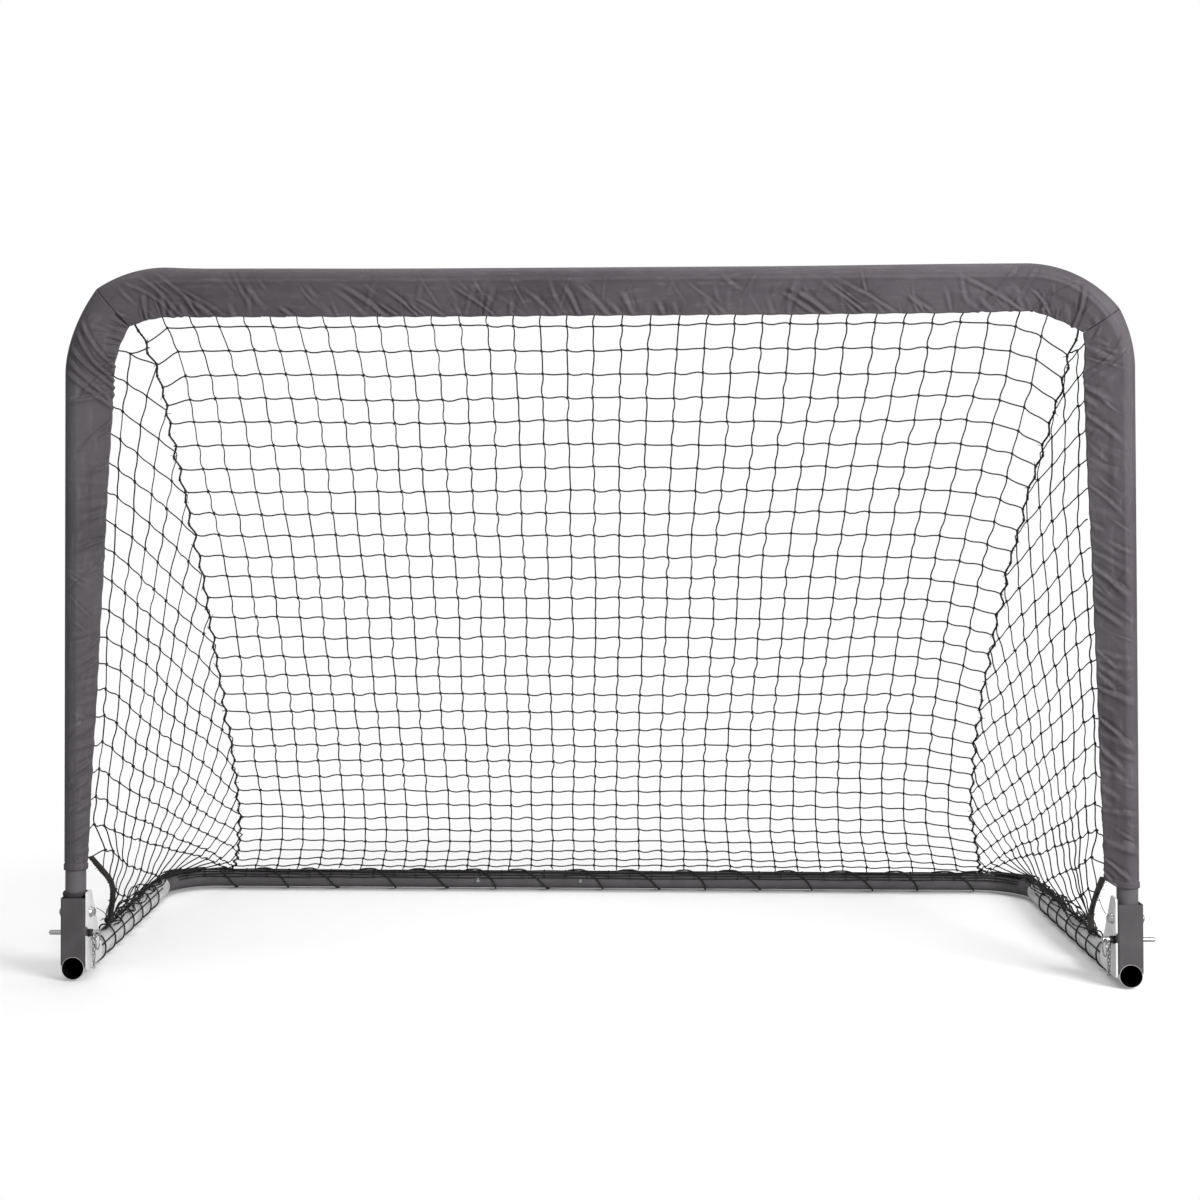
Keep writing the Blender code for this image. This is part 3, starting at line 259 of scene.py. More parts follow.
# Cords: the number of strands, their turns a metre and the share of the radius by which they stand out.
LASHING_LAY = {"lobes": 3, "lay": 90, "depth": 0.10}
BORDER_LAY = {"lobes": 3, "lay": 80, "depth": 0.12}
SEAM_LAY = {"lobes": 2, "lay": 160, "depth": 0.12}
STRING_LAY = {"lobes": 2, "lay": 200, "depth": 0.12}
CORD_R = 0.0015
CORD_CLEAR = 0.0002
BORDER_R = 0.0016
BORDER_START = FRONT_Y + 0.110
BORDER_STEPS = 120
REAR_BORDER_STEPS = 300
BORDER_LEAN = math.radians(36)
BORDER_LEAN_RUN = 0.06
INNER_ROPE_R = 0.0012
INNER_ROPE_CLEAR = 0.0013
INNER_ROPE_LEAN = 62
INNER_ROPE_END_GAP = 0.06
ROPE_LIFT = 0.0026
ROPE_RAMPS = (0.6, 0.8)
WINDING_EASE = 0.85
STRAY_RATES = (2.4, 0.9)
LASHING_INSET = 0.002
LACING_LOOPS = 7
LACING_START = FRONT_Y + 0.125
LACING_END_GAP = 0.057
LACING_PITCH = (REAR_BEND_Y - LACING_END_GAP - LACING_START) / LACING_LOOPS
LACING_STRAY = 0.003
LASHING_R = BASE_R + CORD_CLEAR + CORD_R
REAR_LASHING_R = TUBE_R + CORD_CLEAR + CORD_R
REAR_LOOPS = 15
REAR_PITCH = 0.108
REAR_START = -0.772
REAR_STRAY = 0.012
# The angles of its turn, in radians, between which a winding lies over the border's ropes.
LACING_OVER_ROPES = (1.3, 3.5)
REAR_OVER_ROPE = (2.2, 2.6)

# Slack meshes on the rails. They stand highest between the two middle places of the loose stretch.
GATHER_STEP = 0.004
GATHER_WAVES = 7
GATHER_WAVE_SUM = 2.6
GATHER_KNOTS = slice(6, -6, 11)
GATHER_KNOT_HALF = (0, 0.0015, 0)
GATHER_KNOT_R = KNOT_R * 0.75
GATHER_RATES = (12, 75)
GATHER_LIFT = 0.003
GATHER_LOOSE = 0.026
LOOSE_STRETCH = (-0.20, -0.12, 0.02, 0.24)
SIDE_STRANDS = 6
SIDE_STRAND_CLEAR = 0.0036
SIDE_STRAND_LEAN = 9.0
SIDE_STRAND_STAGGER = 0.02
SIDE_STRAND_END_GAP = 0.034
SIDE_STRAND_END_STEP = 0.004
SIDE_SPREAD = (0.008, 0.003)
REAR_STRANDS = 4
REAR_STRAND_CLEAR = 0.0030
REAR_STRAND_LEAN = (30, 15)
REAR_SPREAD = (0.0, 0.0015)

# Tapes and strings.
TAPE_WIDTH = 0.0108
TAPE_HALF_THICK = 0.0006
TAPE_CURL = 0.0008
TAPE_CURL_RATE = 9
TAPE_FRAY = 0.00035
TAPE_NARROWS = 0.55
TAPE_NARROWS_AT = (0.86, 1.0)
TAPE_UV_LENGTH = 0.2
# Points round the tape's section: shares of its half width and of its half thickness.
TAPE_OUTLINE = [(1, 0.35), (0.9, 1), (-0.9, 1), (-1, 0.35), (-1, -0.35), (-0.9, -1), (0.9, -1), (1, -0.35)]
KNOT_HOOPS = 5
HOOP_STEPS = 20
HOOP_R = 0.0046
HOOP_GROWTH = 0.0006
HOOP_FLAT = 0.7
HOOP_TWIST = 0.003
HOOP_PITCH = 0.0015
HOOP_CORD_R = 0.0014
KNOT_TAILS = 9
TAIL_LENGTH = (0.008, 0.016)
TAIL_SPREAD = (1, 1, 0.6)
TAIL_RISE = 0.4
TAIL_BEND = 0.0015
TAIL_R = 0.0006
FRAYED_THREADS = 14
THREAD_MARGIN = (4, 8)
THREAD_ROOT = 0.95
THREAD_LENGTH = (0.0015, 0.004)
THREAD_STRAY = 0.001
THREAD_R = 0.0004
STRING_R = 0.0006
# Routes, x from the middle outwards: from the sleeve down to the knot on the side rail.
TAPE_ROUTE = {
    "left": [(0.8540, -0.377, 0.2050), (0.8430, -0.330, 0.1700), (0.8413, -0.290, 0.1470),
             (0.8468, -0.250, 0.1220), (0.8558, -0.220, 0.0913), (0.8667, -0.190, 0.0680),
             (0.8765, -0.165, 0.0520)],
    "right": [(0.8400, -0.377, 0.1800), (0.8397, -0.330, 0.1396), (0.8440, -0.285, 0.1080),
              (0.8520, -0.245, 0.0800), (0.8630, -0.208, 0.0600), (0.8730, -0.180, 0.0500)],
}
STRING_ROUTE = {
    "left": [(0.8452, -0.3720, 0.1180), (0.8440, -0.345, 0.1080), (0.8500, -0.290, 0.0900),
             (0.8610, -0.230, 0.0710), (0.8700, -0.185, 0.0590)],
    "right": [(0.8452, -0.3720, 0.1180), (0.8420, -0.362, 0.1260), (0.8400, -0.350, 0.1380),
              (0.8395, -0.338, 0.1450)],
}

# Keeper chains and pull rings.
CHAIN_WIRE = 0.0014
CHAIN_LINK = 0.0058
CHAIN_WIDTH = 0.0050
CHAIN_LINKS = 17
CHAIN_HANG = 1.25
LINK_TWIST = 0.25
LINK_TWIST_RATE = 3.1
RING_STEPS = 64
RING_SIDES = 12
RING_WIRE_SHARE = 0.97

# Lines that a distance is read from have this many points.
FINE_STEPS = 400

# Bevels on the hard edges of the CAD parts at each foot.
EDGE_WIDTH = {"foot_box": 0.0005, "hinge_plate": 0.0004, "hinge_bolt": 0.0003, "lock_pin": 0.0003}


def smooth(x, low, high):
    t = np.clip((x - low) / (high - low), 0, 1)
    return t * t * (3 - 2 * t)


def bell(x, centre, width):
    return np.exp(-(((x - centre) / width) ** 2))


def unit(vectors):
    """The same directions with a length of one."""
    return vectors / np.linalg.norm(vectors, axis=-1, keepdims=True)


def line_length(path):
    return float(np.linalg.norm(np.diff(path, axis=0), axis=1).sum())


def lengths_along(path):
    """How far along a path each of its points lies."""
    return np.concatenate([[0], np.cumsum(np.linalg.norm(np.diff(path, axis=0), axis=1))])


class Value:
    """A shader socket that takes part in Python sums."""

    def __init__(self, finish, socket):
        self.finish, self.socket = finish, socket

    def sum(self, operation, *values):
        return self.finish.node("ShaderNodeMath", {"operation": operation}, dict(enumerate(values)))

    def __add__(self, other):
        return self.sum("ADD", self, other)

    def __sub__(self, other):
        return self.sum("SUBTRACT", self, other)

    def __rsub__(self, other):
        return self.sum("SUBTRACT", other, self)

    def __mul__(self, other):
        return self.sum("MULTIPLY", self, other)

    def __abs__(self):
        return self.sum("ABSOLUTE", self)

    __radd__, __rmul__ = __add__, __mul__

    def wave(self):
        return self.sum("SINE", self)

    def power(self, exponent):
        return self.sum("POWER", self, exponent)

    def ramp(self, low, high, start=0.0, stop=1.0):
        settings = {"interpolation_type": "SMOOTHSTEP"}
        inputs = {0: self, 1: low, 2: high, 3: start, 4: stop}
        return self.finish.node("ShaderNodeMapRange", settings, inputs)


class Finish:
    """One material, built from its own few nodes."""

    def __init__(self, name, colour, roughness, metallic=0.0, **more):
        self.material = bpy.data.materials.new(name)
        self.material.use_nodes = True
        self.tree = self.material.node_tree
        self.shader = self.tree.nodes["Principled BSDF"]
        self.set("Base Color", (*colour, 1.0))
        self.set("Roughness", roughness)
        self.set("Metallic", metallic)
        for socket, value in more.items():
            self.set(socket.replace("_", " "), value)

    def plug(self, socket, value):
        if isinstance(value, Value):
            self.tree.links.new(value.socket, socket)
        else:
            socket.default_value = value

    def set(self, socket, value):
        self.plug(self.shader.inputs[socket], value)

    def node(self, kind, settings=None, inputs=None, output=0):
        made = self.tree.nodes.new(kind)
        for key, value in (settings or {}).items():
            setattr(made, key, value)
        for key, value in (inputs or {}).items():
            self.plug(made.inputs[key], value)
        return Value(self, made.outputs[output])

    def place(self, stretch=(1, 1, 1), source="Object"):
        found = self.node("ShaderNodeTexCoord", output=source)
        return self.node("ShaderNodeMapping", None, {"Vector": found, "Scale": stretch})

    def surface(self, stretch=(1, 1, 1)):
        return self.place(stretch, "UV")

    def cloud(self, vector, scale, detail=2.0, roughness=0.5):
        inputs = {"Vector": vector, "Scale": scale, "Detail": detail, "Roughness": roughness}
        return self.node("ShaderNodeTexNoise", None, inputs)

    def axis(self, vector, name):
        return self.node("ShaderNodeSeparateXYZ", None, {"Vector": vector}, name)

    def blend(self, mask, one, other):
        one, other = (c if isinstance(c, Value) else (*c, 1.0) for c in (one, other))
        return self.node("ShaderNodeMix", {"data_type": "RGBA"}, {0: mask, 6: one, 7: other}, 2)

    def weave(self, threads_across, threads_along):
        """Height of a weave on the piece's own surface; the rates are in radians a metre."""
        across, along = self.axis(self.surface(), "X"), self.axis(self.surface(), "Y")
        return (across * threads_across).wave() * (along * threads_along).wave()

    def relief(self, height, distance, strength):
        inputs = {"Height": height, "Distance": distance, "Strength": strength}
        self.set("Normal", self.node("ShaderNodeBump", None, inputs))


def sleeve_cloth():
    """Woven polyester: dark grey with a violet cast, a soft sheen and pale streaks painted in as crease
    highlights.
    """
    shade, lit, crease_highlight = (0.062, 0.053, 0.061), (0.084, 0.074, 0.083), (0.130, 0.119, 0.129)
    finish = Finish("sleeve_cloth", (0.075, 0.066, 0.074), 0.62, Specular_IOR_Level=0.35)
    place = finish.place()
    mottle = finish.cloud(place, scale=9.0, detail=4.0)
    streak = finish.cloud(finish.surface((40, 8, 1)), scale=3.0, detail=3.0)
    tone = finish.blend(mottle.ramp(0.3, 0.7), shade, lit)
    # Pale streaks blended into the colour: painted highlights along fine creases.
    finish.set("Base Color", finish.blend(streak.ramp(0.52, 0.78) * 0.5, tone, crease_highlight))
    finish.set("Roughness", mottle.ramp(0.2, 0.8, start=0.52, stop=0.70))
    weave = finish.weave(5200.0, 5200.0)
    creases = finish.cloud(place, scale=60.0, detail=3.0)
    finish.relief(weave * 0.12 + creases * 0.9, distance=0.0010, strength=0.55)
    return finish.material


def hem_cloth():
    finish = Finish("hem_cloth", (0.022, 0.018, 0.021), 0.7)
    gathers = finish.cloud(finish.place((1, 1, 4)), scale=160.0, detail=3.0)
    finish.relief(gathers, distance=0.0008, strength=0.6)
    return finish.material


def powder_coat(name, colour, gloss=0.32):
    """Satin dark grey coat with a faint orange peel."""
    finish = Finish(name, colour, 0.48, Specular_IOR_Level=gloss)
    place = finish.place()
    dust = finish.cloud(place, scale=30.0, detail=3.0)
    lighter = tuple(c * 1.25 for c in colour)
    finish.set("Base Color", finish.blend(dust.ramp(0.35, 0.75), colour, lighter))
    finish.set("Roughness", dust.ramp(0.2, 0.8, start=0.44, stop=0.56))
    finish.relief(finish.cloud(place, scale=900.0, detail=1.0), distance=0.0002, strength=0.35)
    return finish.material


def zinc(name, colour, roughness, metallic=1.0, bore=0.0):
    """Zinc plating with cloudy patches and drawn lines along the tube; a tube's bore is painted near black
    as shade.
    """
    finish = Finish(name, colour, roughness, metallic)
    patches = finish.cloud(finish.place(), scale=22.0, detail=4.0, roughness=0.6)
    lines = finish.cloud(finish.place((900, 6, 900)), scale=1.0, detail=2.0)
    dull = tuple(c * 0.80 for c in colour)
    tone = finish.blend(patches.ramp(0.35, 0.7), dull, colour)
    if bore:
        place = finish.place()
        aside = abs(finish.axis(place, "X")) - POST_X
        up = finish.axis(place, "Z") - BASE_Z
        # Near black painted shade inside the bore and over the inner part of the cut end, where the open
        # tube lies in shadow.
        outside_bore_shade = (aside * aside + up * up).power(0.5).ramp(bore - 0.0007, bore - 0.0003)
        tone = finish.blend(outside_bore_shade, (0.006, 0.006, 0.006), tone)
    finish.set("Base Color", tone)
    finish.set("Roughness", patches.ramp(0.25, 0.75, start=roughness + 0.10, stop=roughness - 0.06))
    finish.relief(lines, distance=0.0001, strength=0.3)
    return finish.material


def moulded_plastic():
    finish = Finish("black_plastic", (0.014, 0.014, 0.015), 0.45)
    finish.relief(finish.cloud(finish.place(), scale=1500.0, detail=1.0), distance=0.0001, strength=0.3)
    return finish.material


def twine(name, colour, grain):
    """Fibrous cord with paler fuzz; the grain is the scale of its strands."""
    finish = Finish(name, colour, 0.8, Specular_IOR_Level=0.3)
    place = finish.place()
    fuzz = finish.cloud(place, scale=700.0, detail=3.0, roughness=0.7)
    paler = tuple(c * 1.9 for c in colour)
    finish.set("Base Color", finish.blend(fuzz.ramp(0.45, 0.8), colour, paler))
    finish.relief(fuzz + finish.cloud(place, scale=grain, detail=1.0), distance=0.0004, strength=0.7)
    return finish.material


def webbing():
    """Binding tape: ribs run along its length."""
    finish = Finish("webbing", (0.030, 0.026, 0.024), 0.75)
    finish.relief(finish.weave(6000.0, 3000.0), distance=0.0003, strength=0.6)
    return finish.material


def make_piece(name, points, faces, material, uv=None, sharp=None):
    mesh = bpy.data.meshes.new(name)
    mesh.from_pydata([tuple(p) for p in points], [], [tuple(int(k) for k in f) for f in faces])
    mesh.materials.append(material)
    if uv is not None:
        layer = mesh.uv_layers.new(name="UVMap")
        corners = np.array([loop.vertex_index for loop in mesh.loops])
        layer.data.foreach_set("uv", np.asarray(uv, float)[corners].astype(np.float32).ravel())
    piece = bpy.data.objects.new(name, mesh)
    bpy.context.scene.collection.objects.link(piece)
    mesh.shade_smooth()
    if sharp:
        mesh.set_sharp_from_angle(angle=math.radians(sharp))
    return piece


def apply_modifiers(piece):
    """Turn the evaluated object into a plain mesh."""
    graph = bpy.context.evaluated_depsgraph_get()
    mesh = bpy.data.meshes.new_from_object(piece.evaluated_get(graph))
    piece.modifiers.clear()
    piece.data = mesh
    return piece


def strip_faces(rows, wide, closed_round=False, closed_along=False):
    """Quads of a grid of points, rows by wide, each row a ring if closed_round."""
    faces = []
    for row in range(rows if closed_along else rows - 1):
        after = (row + 1) % rows
        for k in range(wide if closed_round else wide - 1):
            beside = (k + 1) % wide
            faces.append((row * wide + k, row * wide + beside, after * wide + beside, after * wide + k))
    return faces


def swept(path, radius, sides, up=(0, 0, 1), capped=True, lobes=0, lay=0.0, depth=0.0):
    """Vertices, faces and UVs of a tube along a path; lobes give a rope its strands."""
    path = np.asarray(path, float)
    along = unit(np.gradient(path, axis=0))
    side, parallel = np.cross(along[0], up), 1e-3
    if np.linalg.norm(side) < parallel:
        side = np.cross(along[0], (1, 0, 0))
    side /= np.linalg.norm(side)
    lengths = lengths_along(path)
    angles = 2 * np.pi * np.arange(sides) / sides
    points, uv = [], []
    for k, place in enumerate(path):
        side = side - along[k] * (side @ along[k])
        side /= np.linalg.norm(side)
        other = np.cross(along[k], side)
        here = np.asarray(radius)[k] if np.ndim(radius) else radius
        round_radius = here * (1 + depth * np.cos(lobes * angles - 2 * np.pi * lengths[k] * lay))
        ring = np.outer(np.cos(angles) * round_radius, side) + np.outer(np.sin(angles) * round_radius, other)
        points.append(place + ring)
        uv.append(np.stack([angles * here, np.full(sides, lengths[k])], 1))
    faces = strip_faces(len(path), sides, closed_round=True)
    if capped:
        last = (len(path) - 1) * sides
        faces.append(tuple(range(sides))[::-1])
        faces.append(tuple(last + k for k in range(sides)))
    return np.concatenate(points), faces, np.concatenate(uv)


def cord_piece(name, path, radius, material, sides=10, **more):
    points, faces, uv = swept(path, radius, sides, **more)
    return make_piece(name, points, faces, material, uv, sharp=60)


def joined(name, parts, material):
    """One piece from several (points, faces, uv) parts."""
    points, faces, uv, start = [], [], [], 0
    for more_points, more_faces, more_uv in parts:
        points.append(more_points)
        uv.append(more_uv)
        faces += [tuple(k + start for k in face) for face in more_faces]
        start += len(more_points)
    return make_piece(name, np.concatenate(points), faces, material, np.concatenate(uv), sharp=60)


def arc(centre, radius, start, stop, steps, plane):
    angles = np.radians(np.linspace(start, stop, steps + 1))
    u, v = radius * np.cos(angles), radius * np.sin(angles)
    flat = np.zeros_like(angles)
    turned = (u, flat, v) if plane == "XZ" else (u, v, flat)
    return np.stack([place + offset for place, offset in zip(centre, turned)], 1)


def dense(points, step):
    """The same line with points no further apart than a step."""
    points = np.asarray(points, float)
    out = [points[:1]]
    for one, two in zip(points, points[1:]):
        count = max(int(math.ceil(np.linalg.norm(two - one) / step)), 1)
        out.append(one + (two - one) * (np.arange(1, count + 1) / count)[:, None])
    return np.concatenate(out)


def curve_through(points, step):
    """A smooth line through chosen points, resampled evenly."""
    points = np.asarray(points, float)
    padded = np.vstack([2 * points[0] - points[1], points, 2 * points[-1] - points[-2]])
    per_span, fewest = 24, 8
    fine = []
    for k in range(1, len(padded) - 2):
        a, b, c, d = padded[k - 1 : k + 3]
        for t in np.linspace(0, 1, per_span, endpoint=False):
            fine.append(0.5 * (2 * b + (c - a) * t + (2 * a - 5 * b + 4 * c - d) * t**2
                               + (3 * b - a - 3 * c + d) * t**3))
    fine.append(points[-1])
    fine = np.array(fine)
    lengths = lengths_along(fine)
    even = np.linspace(0, lengths[-1], max(int(lengths[-1] / step), fewest) + 1)
    return np.stack([np.interp(even, lengths, fine[:, k]) for k in range(3)], 1)


def hollow_tube(name, path, outer, wall, material, body, node, up=(0, 1, 0)):
    """A smooth tube with its bore, in the place of a CAD tube."""
    outside, faces, uv = swept(path, outer, TUBE_SIDES, up, capped=False)
    inside, more, more_uv = swept(path, outer - wall, TUBE_SIDES, up, capped=False)
    start = len(outside)
    faces = faces + [tuple(k + start for k in face[::-1]) for face in more]
    last = start - TUBE_SIDES
    for k in range(TUBE_SIDES):
        after = (k + 1) % TUBE_SIDES
        faces.append((after, k, start + k, start + after))
        faces.append((last + k, last + after, start + last + after, start + last + k))
    points, uv = np.concatenate([outside, inside]), np.concatenate([uv, more_uv])
    piece = make_piece(name, points, faces, material, uv, sharp=40)
    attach(piece, body)
    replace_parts(piece, node)


def make_tubes(coat, dark, bright):
    """Posts, crossbar, side tubes and rear bar, round where the CAD has facets."""
    joint_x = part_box("crossbar_tube")[1].x
    bar = [(-joint_x, POST_Y, BAR_Z), (joint_x, POST_Y, BAR_Z)]
    hollow_tube("crossbar", bar, TUBE_R, TUBE_WALL, coat, "arch", "crossbar_tube")
    post_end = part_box("left_post_tube")[0].z
    rear_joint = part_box("left_rear_tube")[1].x
    for word, side in SIDES.items():
        x = side * POST_X
        turn = (0, 90) if side > 0 else (180, 90)
        bend = arc((side * BEND_X, POST_Y, BEND_Z), BEND_R, *turn, POST_BEND_STEPS, "XZ")
        path = np.vstack([[(x, POST_Y, post_end)], bend, [(side * (joint_x + JOINT_GAP), POST_Y, BAR_Z)]])
        hollow_tube(f"{word}_post", path, TUBE_R, TUBE_WALL, dark, "arch", f"{word}_post_tube")
        path = [(x, FRONT_Y, BASE_Z), (x, REAR_BEND_Y, BASE_Z)]
        hollow_tube(f"{word}_side_rail", path, BASE_R, BASE_WALL, bright, "base", f"{word}_side_tube",
                    up=(0, 0, 1))
        bend = arc((side * REAR_BEND_X, REAR_BEND_Y, BASE_Z), REAR_BEND_R, *turn, REAR_BEND_STEPS, "XY")
        plug = (x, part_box(f"{word}_rear_tube")[0].y, BASE_Z)
        path = np.vstack([[plug], bend, [(rear_joint + (side > 0) * JOINT_GAP, REAR_Y, BASE_Z)]])
        hollow_tube(f"{word}_rear_bar", path, TUBE_R, TUBE_WALL, dark, "base", f"{word}_rear_tube",
                    up=(0, 0, 1))


def flap_reach(word, height):
    """How far the sleeve's hem stands from the post axis at a height."""
    share = np.clip((height - SLEEVE_END[word]) / (BEND_Z - SLEEVE_END[word]), 0.0, 1.0)
    return FLAP_END[word] + (FLAP_TOP[word] - FLAP_END[word]) * share ** FLAP_POWER[word]


def bar_reach(x):
    return np.interp(x, BAR_FLAP_AT, BAR_FLAP)


def bend_reach(word, angle):
    """The same round a corner, from 0 degrees at the post to 90 at the crossbar; the mitre shortens it."""
    near = np.maximum(1 - np.abs(angle - MITRE_TURN[word]) / MITRE_REACH, 0.0)
    bar_end = bar_reach(SIDES[word] * BEND_X)
    return FLAP_TOP[word] + (bar_end - FLAP_TOP[word]) * angle / 90 - MITRE_NOTCH[word] * near**2


def sleeve_section(reach, radius, count):
    """A drop-shaped outline round the tube, from edge to edge of the cloth, as (towards the hem, back)."""
    if reach < radius * NO_FLAP:
        angles = np.linspace(0, 2 * np.pi, count)
        return np.stack([radius * np.cos(angles), radius * np.sin(angles)], 1)
    meet = math.acos(min((radius - HEM_HALF) / reach, 1.0))
    flat = reach * math.sin(meet)
    around = (2 * math.pi - 2 * meet) * radius
    total = around + 2 * flat
    places = np.linspace(0, total, count - 2)
    out = [np.array([reach + HEM_EDGE, 0.0])]
    tip = np.array([reach, HEM_HALF])
    leave = radius * np.array([math.cos(meet), math.sin(meet)])
    for place in places:
        if place < flat:
            out.append(tip + (leave - tip) * (place / flat))
        elif place > total - flat:
            share = (total - place) / flat
            back = tip + (leave - tip) * share
            out.append(back * (1, -1))
        else:
            angle = meet + (place - flat) / radius
            out.append(radius * np.array([math.cos(angle), math.sin(angle)]))
    return np.array(out + out[:1])


def fold(across, hollow, beside):
    """Height across a fold: its ridge, and the hollow beside it."""
    return np.exp(-(across**2)) - hollow * np.exp(-((across - beside) ** 2))


def pleats(along, rise, length, seed, lean):
    """Folds that run up from each place where the net is tied to the hem, fading before the tube."""
    random = np.random.default_rng(seed)
    height = np.zeros_like(along)
    for tie in np.arange(MESH / 2, length, MESH / 2):
        slant = random.uniform(*lean)
        tie += random.normal(0, PLEAT_STRAY)
        wide = random.uniform(*PLEAT_WIDTH)
        depth = random.uniform(0.0, 1.0) ** PLEAT_UNEVEN
        reach = random.uniform(*PLEAT_REACH)
        aside = along - tie - slant * rise - PLEAT_CURVE * slant * rise**2
        fade = smooth(rise, *PLEAT_FOOT) * (1 - smooth(rise, reach * PLEAT_FADE, reach))
        height += depth * fade * fold(aside / (wide + PLEAT_FLARE * rise), hollow=0.9, beside=1.7)
    return height


def crinkles(along, rise, length, seed, lean):
    """Short creases scattered over the flap, most of them slanting one way."""
    random = np.random.default_rng(seed)
    height = np.zeros_like(along)
    for _ in range(int(length * CRINKLES_PER_METRE)):
        place, up = random.uniform(0, length), random.uniform(*CRINKLE_RISE)
        slant = random.uniform(*(lean if random.random() < CRINKLES_LEANING else CRINKLE_ASTRAY))
        long, wide = random.uniform(*CRINKLE_LENGTH), random.uniform(*CRINKLE_WIDTH)
        turn = math.atan(slant)
        u, v = along - place, rise - up
        across = (u * math.cos(turn) - v * math.sin(turn)) / wide
        down = (u * math.sin(turn) + v * math.cos(turn)) / long
        depth = random.uniform(*STRENGTH)
        height += depth * fold(across - CRINKLE_CURVE * down**2, hollow=0.8, beside=1.8) * np.exp(-(down**2))
    return height


def billows(along, rise, seed):
    """Broad, shallow hollows between the folds."""
    random = np.random.default_rng(seed)
    height = np.zeros_like(along)
    for _ in range(BILLOWS):
        u, v = random.normal(0, 1, 2) * BILLOW_RATES
        depth, phase = random.uniform(*STRENGTH), random.uniform(0, FULL_TURN)
        height += depth * np.sin(u * along + v * rise + phase)
    return height / BILLOW_SUM


def cloth_relief(rows, along, rise, length, folds, crease, lean, seed):
    """How far the cloth's folds stand off its smooth shape; folds are (place, slant, depth)."""
    down = rows[..., 0]
    front = rows[..., 1] < 0
    height = np.zeros_like(down)
    for facing, more in ((front, 0), (~front, BACK_SEED)):
        height += facing * PLEAT_DEPTH * pleats(along, rise, length, seed + more, lean)
        height += facing * CRINKLE_DEPTH * crinkles(along, rise, length, seed + more, lean)
        height += facing * BILLOW_DEPTH * billows(along, rise, seed + more) * smooth(rise, *BILLOW_FOOT)
    height *= smooth(down, *FOLD_START)
    height -= crease * bell(down, *CREASE_LINE) * (0.75 + 0.25 * np.sin(along * CREASE_RATE))
    height += CREASE_LIP_SHARE * crease * bell(down, *CREASE_LIP)
    for place, slant, depth in folds:
        across = (along - place - slant * down) / FOLD_WIDTH
        height += depth * fold(across, hollow=0.7, beside=1.8) * smooth(down, *SINGLE_FOLD_START)
    return np.clip(height, *FOLD_LIMITS)


def sleeve_shape(stations, folds, crease, lean, seed):
    """Cloth round the tube, from stations of (centre, inward, reach, radius, peak)."""
    rows = np.array([sleeve_section(reach, radius, SLEEVE_COUNT) for _, _, reach, radius, _ in stations])
    centres, inward, reaches, radii, peaks = (np.array(column) for column in zip(*stations))
    reaches, radii, peaks = reaches[:, None], radii[:, None], peaks[:, None]
    lengths = lengths_along(centres)
    along = np.repeat(lengths[:, None], SLEEVE_COUNT, 1)
    down = rows[..., 0]
    rise = np.maximum(reaches - down, 0.0)
    turn = np.gradient(rows, axis=1)
    normal = unit(np.stack([turn[..., 1], -turn[..., 0]], -1))
    height = cloth_relief(rows, along, rise, lengths[-1], folds, crease, lean, seed)
    flap = smooth(down, radii, radii + FLAP_EASE)
    fast, slow = FLAP_SWAY_RATES
    rows = rows + normal * (height * (1 - HEM_STIFF * smooth(rise, HEM_STIFF_RISE, 0.0)))[..., None]
    rows[..., 0] -= peaks * np.clip(-down / radii, 0, 1) ** 2
    rows[..., 0] -= flap * HEM_SCALLOP * (0.5 + 0.5 * np.cos(2 * np.pi * along / MESH))
    rows[..., 1] += flap * FLAP_SWAY * np.sin(along * fast + seed) * np.sin(along * slow)
    rows[:, [0, -1]] = (rows[:, [0, -1]]).mean(1, keepdims=True)
    points = centres[:, None] + inward[:, None] * rows[..., :1] + np.array([0, 1, 0]) * rows[..., 1:]
    return points, rows, lengths


def cut_hem(points, rows, word):
    """The sleeve's lower end: a turned cuff above a slanting cut, which is steeper on the right."""
    up = points[..., 2] - SLEEVE_END[word]
    cuff = CUFF_THICK * (1 - smooth(up, CUFF - CUFF_EDGE, CUFF))
    cuff -= CUFF_GROOVE * bell(up - CUFF, CUFF_EDGE, CUFF_GROOVE_WIDTH)
    spread = unit(points[..., :2] - np.array([SIDES[word] * POST_X, POST_Y]))
    points[..., :2] += spread * cuff[..., None]
    past_tube = np.clip(rows[..., 0] - TUBE_R, 0, None)
    points[..., 2] += HEM_SLOPE[word] * past_tube * (1 - smooth(up, 0.0, HEM_SLOPE_HEIGHT))


def turned_in(points, end, along):
    """Two more rows at an open end: the cloth's edge turned inside."""
    edge, beside = points[end], points[along]
    run = (beside - edge).mean(0)
    run /= np.linalg.norm(run)
    spoke = edge - edge.mean(0)
    spoke -= np.outer(spoke @ run, run)
    inner = edge - unit(spoke) * CLOTH
    return [inner, inner + run * TURNED_IN]


def finish_sleeve(name, node, points, rows, lengths, material):
    first, last = turned_in(points, 0, 1), turned_in(points, -1, -2)
    whole = np.concatenate([[first[1], first[0]], points, last])
    across = np.repeat(np.linspace(0, SLEEVE_UV_WIDTH, SLEEVE_COUNT)[None], len(whole), 0)
    along = np.concatenate([[0, 0], lengths, lengths[-1:], lengths[-1:]])
    uv = np.stack([across, np.repeat(along[:, None], SLEEVE_COUNT, 1)], -1).reshape(-1, 2)
    piece = make_piece(name, whole.reshape(-1, 3), strip_faces(len(whole), SLEEVE_COUNT), material, uv)
    bm = bmesh.new()
    bm.from_mesh(piece.data)
    bmesh.ops.recalc_face_normals(bm, faces=bm.faces)
    bm.to_mesh(piece.data)
    bm.free()
    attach(piece, "arch")
    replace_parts(piece, node)
    section = rows[len(rows) // 2]
    flat = (line_length(np.vstack([section, section[:1]])), float(lengths[-1]))


